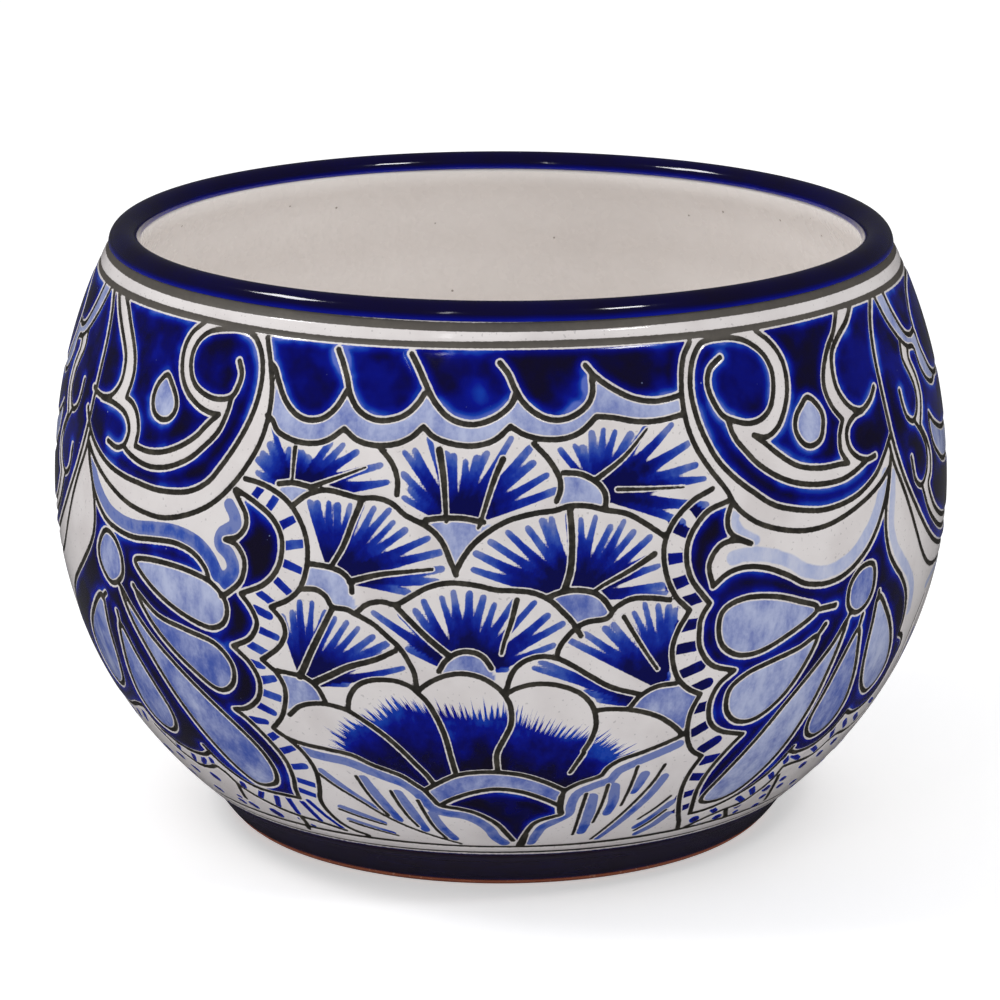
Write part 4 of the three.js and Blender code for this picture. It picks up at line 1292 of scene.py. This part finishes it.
def fired_clay():
    """Bare red earthenware with grog, pores and the marks of turning."""
    f = Finish("fired_clay")
    cloud, mottle, grain = f.noise(22, 4), f.noise(3.4, 3), f.noise(0.6, 2)
    grog = f.noise(1.0, 0).step(0.7, 0.76)
    colour = f.mix(shade(196, 112, 80), shade(158, 82, 56), cloud * 0.6 + mottle * 0.4)
    colour = f.mix(colour, shade(222, 164, 132), grog * 0.6)
    turning = f.noise(1.6, 1, stretch=(0.12, 0.12, 1.0))
    skin = f.bump(grain * 0.5 + turning * 0.5 - grog * 0.2, 0.5, 0.25)
    return f.surface(Base_Color=colour, Roughness=grain * 0.15 + 0.72, Normal=skin)


# ---------------------------------------------------------------- the turned pieces

def arc(middle_r, middle_z, half_width, rise, first, last, steps):
    """Points of an elliptic arc, by its angles in degrees."""
    angles = np.radians(np.linspace(first, last, steps))
    return [(middle_r + half_width * math.cos(t), middle_z + rise * math.sin(t)) for t in angles]


def lip_section():
    """The rolled lip, rounded over the top and turned in a little underneath."""
    crown_z = HEIGHT - LIP_CROWN
    half = LIP_WIDTH / 2
    low = NECK_Z + 0.1
    return [(LIP_R + half - 1.0, low), (LIP_R + half - 0.25, low + 0.1),
            *arc(LIP_R, crown_z, half, LIP_CROWN - FIT, 0, 180, 33),
            (LIP_R - half + 0.25, low + 0.1), (LIP_R - half + 1.0, low)]


def foot_face(z, depth=0.0):
    """Radius of the foot's flared face at a height."""
    flare = FOOT_FLARE / WALL_Z
    return FOOT_R + flare * z - depth * math.hypot(1, flare)


def inside_section(depth, floor_z):
    """The inside of the pot, from the middle of its floor, round the bend and up to the mouth."""
    wall = wall_section(depth, FLOOR_TURN, 90)
    low, above = wall[0], wall[1]
    slope = (above[0] - low[0]) / (above[1] - low[1])
    corner = np.array([low[0] - slope * (low[1] - floor_z), floor_z])
    start = corner - (FLOOR_BEND, 0)
    t = np.linspace(0, 1, 14)[:, None]
    bend = start * (1 - t) ** 2 + 2 * corner * t * (1 - t) + low * t ** 2
    floor = [(r, floor_z - 0.15 * math.sin(r / 3.1)) for r in np.linspace(0.0, start[0] - 1, 40)]
    return [*floor, *bend.tolist(), *wall[1:].tolist()]


def lining():
    """The inside glaze, with the slight waves that throwing leaves."""
    face = inside_section(GLAZE * 2 + FIT * 2 + CLAY_WALL, FLOOR_Z)
    back = inside_section(GLAZE + FIT * 2 + CLAY_WALL + 0.1, FLOOR_Z - GLAZE)
    waved = [(r - 0.22 * math.sin(z / 3.4) * min(1, max(0, (z - 40) / 20)), z) for r, z in face]
    waved = [p for p in waved if p[1] < NECK_Z - 2]
    waved += [(MOUTH_R + 0.1, NECK_Z - 1), (MOUTH_R + 0.4, NECK_Z + 0.6)]
    back = [p for p in back if p[1] < NECK_Z - 2] + [(MOUTH_R + 1.2, NECK_Z + 0.6)]
    return turned_piece("lining", back + waved[::-1], lining_glaze())


def foot_band():
    """The cobalt band of the foot, rounded over its upper shoulder into the wall."""
    low = BARE_EDGE + FIT
    shoulder = foot_face(WALL_Z - 0.6)
    section = [(foot_face(low, GLAZE), low), (foot_face(low, 0.25), low),
               (foot_face(low + 0.5), low + 0.5)]
    section += [(foot_face(z) + 0.5 * math.sin(math.pi * z / WALL_Z), z)
                for z in np.linspace(low + 1.5, WALL_Z - 3.2, 8)]
    section += arc(shoulder - 2.2, WALL_Z - 2.6, 2.1, 2.4, 12, 90, 9)
    section += [(shoulder - 3.2, WALL_Z - 1.4)]
    return turned_piece("foot_band", section, foot_glaze(), waviness=0.1)


def foot_ring(clay):
    """The clay ring that the pot stands on, its edges softened by a sponge."""
    inner = FOOT_R - FOOT_RING_WIDTH
    top = RING_HIGH[2]
    section = [(inner, 1.2), (inner + 0.35, 0.35), (inner + 1.2, 0.0), (FOOT_R - 1.3, 0.0),
               (FOOT_R - 0.4, 0.3), (FOOT_R + 0.35, 0.9), (foot_face(BARE_EDGE, 0.05), BARE_EDGE),
               (foot_face(BARE_EDGE + 0.3, GLAZE + 0.1), BARE_EDGE + 0.3),
               (foot_face(top, GLAZE + 0.2), top), (inner, top)]
    return turned_piece("foot_ring_turned", section, clay)


def clay_pot(clay):
    """The fired clay under the glazes. Its underside shows inside the foot ring."""
    outside = wall_section(1.2, steps=60).tolist()
    inside = inside_section(GLAZE + FIT * 2 + CLAY_WALL - 0.2, FLOOR_Z - GLAZE - FIT)[::-1]
    plug = FOOT_R - FOOT_RING_WIDTH - FIT
    under = [(r, BASE_Z + 0.25 * math.sin(r / 2.3) + 0.3) for r in np.linspace(0.0, plug - 2.5, 60)]
    section = [*under, (plug - 0.8, BASE_Z + 0.35), (plug, BASE_Z + 1.2), (plug, WALL_Z + 0.1),
               (foot_face(WALL_Z, 1.2), WALL_Z + 0.1), *outside,
               (outside[-1][0], NECK_Z - FIT), (MOUTH_R + 1.4, NECK_Z - FIT), *inside]
    return turned_piece("fired_pot", section, clay)


# ---------------------------------------------------------------- the piece list

def body_piece(piece, node):
    """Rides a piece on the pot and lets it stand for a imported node."""
    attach(piece, "root")
    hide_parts(node)


fired_clay_finish = fired_clay()
for quarter_piece in wall_sectors(*paint(), painted_glaze()):
    body_piece(quarter_piece, "outer_glaze")
body_piece(turned_piece("lip", lip_section(), lip_glaze(), 360, 0.3), "rim_glaze")
body_piece(lining(), "inner_glaze")
body_piece(foot_band(), "foot_glaze")
body_piece(foot_ring(fired_clay_finish), "foot_ring")
body_piece(clay_pot(fired_clay_finish), "clay_body")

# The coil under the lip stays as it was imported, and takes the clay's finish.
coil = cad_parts["rim_roll"]
coil.data.materials.clear()
coil.data.materials.append(fired_clay_finish)


# ---------------------------------------------------------------- floor, light and camera

FLOOR_REACH = 9000.0            # radius of the floor, in millimetres
FLOOR_RINGS = 24
FLOOR_SIDES = 96
FLOOR_LIFT = 0.42               # light that the camera sees from the floor beyond what falls on it
ROOM_LIGHT = 0.72               # even light on the pot
ROOM_SHINE = 0.07               # how bright the dark room is where the glaze reflects it

# Lamps: name, place, what it is aimed at, width and height in metres, watts.
LAMPS = [
    ("window_left", (-1.6, -0.15, 2.0), (0, 0, 0.1), (0.7, 0.4), 17),
    ("window_right", (1.1, -1.1, 2.0), (0, 0, 0.1), (0.4, 0.25), 8),
    ("strip", (-0.5, -1.6, 1.5), (0, 0, 0.15), (0.06, 0.4), 0.6),
]

LENS = 154.3                    # focal length, in millimetres
FILM = 36.0                     # width of the film
SHIFT = (-0.0007, 0.0125)       # how far the film is shifted, as shares of its width
VIEW_TILT = math.radians(15.27)     # how steeply the camera looks down
VIEW_RANGE = 1.3052             # metres from the camera to what it looks at
VIEW_TARGET = Vector((0, 0, 0.09))


def floor_finish():
    """Pale floor that keeps the pot's shadow and is white to the camera."""
    f = Finish("floor")
    seen = f.node("ShaderNodeLightPath", output="Is Camera Ray")
    shone = f.node("ShaderNodeLightPath", output="Is Glossy Ray")
    mottle = f.noise(300, 3)
    pale = f.mix(shade(238, 238, 238), shade(232, 232, 233), mottle)
    colour = f.mix(pale, shade(76, 76, 78), shone)
    lift = f.mix((0, 0, 0, 1), (FLOOR_LIFT, FLOOR_LIFT, FLOOR_LIFT, 1), seen)
    return f.surface(Base_Color=colour, Roughness=mottle * 0.1 + 0.8,
                     Emission_Color=lift, Emission_Strength=1.0)


def stage_floor():
    """A large, flat, round floor, with finer rings near the pot."""
    points = [(0.0, 0.0, 0.0)]
    faces = []
    for i in range(1, FLOOR_RINGS + 1):
        r = FLOOR_REACH * (i / FLOOR_RINGS) ** 1.6
        for k in range(FLOOR_SIDES):
            t = 2 * math.pi * k / FLOOR_SIDES
            points.append((r * math.cos(t), r * math.sin(t), 0.0))
    for k in range(FLOOR_SIDES):
        faces.append((0, 1 + k, 1 + (k + 1) % FLOOR_SIDES))
    for i in range(FLOOR_RINGS - 1):
        for k in range(FLOOR_SIDES):
            here = 1 + i * FLOOR_SIDES + k
            beside = 1 + i * FLOOR_SIDES + (k + 1) % FLOOR_SIDES
            faces.append((here, here + FLOOR_SIDES, beside + FLOOR_SIDES, beside))
    mesh_piece("floor", points, faces, floor_finish())


def soft_box(name, place, target, size, watts):
    """A softbox, an oblong light aimed at a point."""
    lamp = bpy.data.lights.new(name, "AREA")
    lamp.shape = "RECTANGLE"
    lamp.size, lamp.size_y = size
    lamp.energy = watts
    light = bpy.data.objects.new(name, lamp)
    light.location = place
    light.rotation_euler = (Vector(target) - Vector(place)).to_track_quat("-Z", "Y").to_euler()
    bpy.context.scene.collection.objects.link(light)


def room_light():
    """Even light from all round. It is white where the camera looks past the floor."""
    world = bpy.data.worlds.new("room")
    bpy.context.scene.world = world
    world.use_nodes = True
    tree = world.node_tree
    tree.nodes.clear()
    path = tree.nodes.new("ShaderNodeLightPath")
    glossy = tree.nodes.new("ShaderNodeMix")
    seen = tree.nodes.new("ShaderNodeMix")
    background = tree.nodes.new("ShaderNodeBackground")
    output = tree.nodes.new("ShaderNodeOutputWorld")
    glossy.inputs["A"].default_value = ROOM_LIGHT
    glossy.inputs["B"].default_value = ROOM_SHINE
    seen.inputs["B"].default_value = 1.0
    background.inputs["Color"].default_value = (1, 1, 1, 1)
    tree.links.new(path.outputs["Is Glossy Ray"], glossy.inputs["Factor"])
    tree.links.new(path.outputs["Is Camera Ray"], seen.inputs["Factor"])
    tree.links.new(glossy.outputs["Result"], seen.inputs["A"])
    tree.links.new(seen.outputs["Result"], background.inputs["Strength"])
    tree.links.new(background.outputs["Background"], output.inputs["Surface"])


def camera():
    """The camera stands in front and a little above, and looks at the middle of the pot."""
    lens = bpy.data.cameras.new("camera")
    lens.lens = LENS
    lens.sensor_width = FILM
    lens.shift_x, lens.shift_y = SHIFT
    lens.clip_end = 100.0
    view = bpy.data.objects.new("camera", lens)
    away = Vector((0, -math.cos(VIEW_TILT), math.sin(VIEW_TILT)))
    view.location = VIEW_TARGET + away * VIEW_RANGE
    view.rotation_euler = (VIEW_TARGET - view.location).to_track_quat("-Z", "Y").to_euler()
    bpy.context.scene.collection.objects.link(view)
    bpy.context.scene.camera = view


stage_floor()
room_light()
for lamp_settings in LAMPS:
    soft_box(*lamp_settings)
camera()
bpy.context.scene.view_settings.view_transform = "Standard"
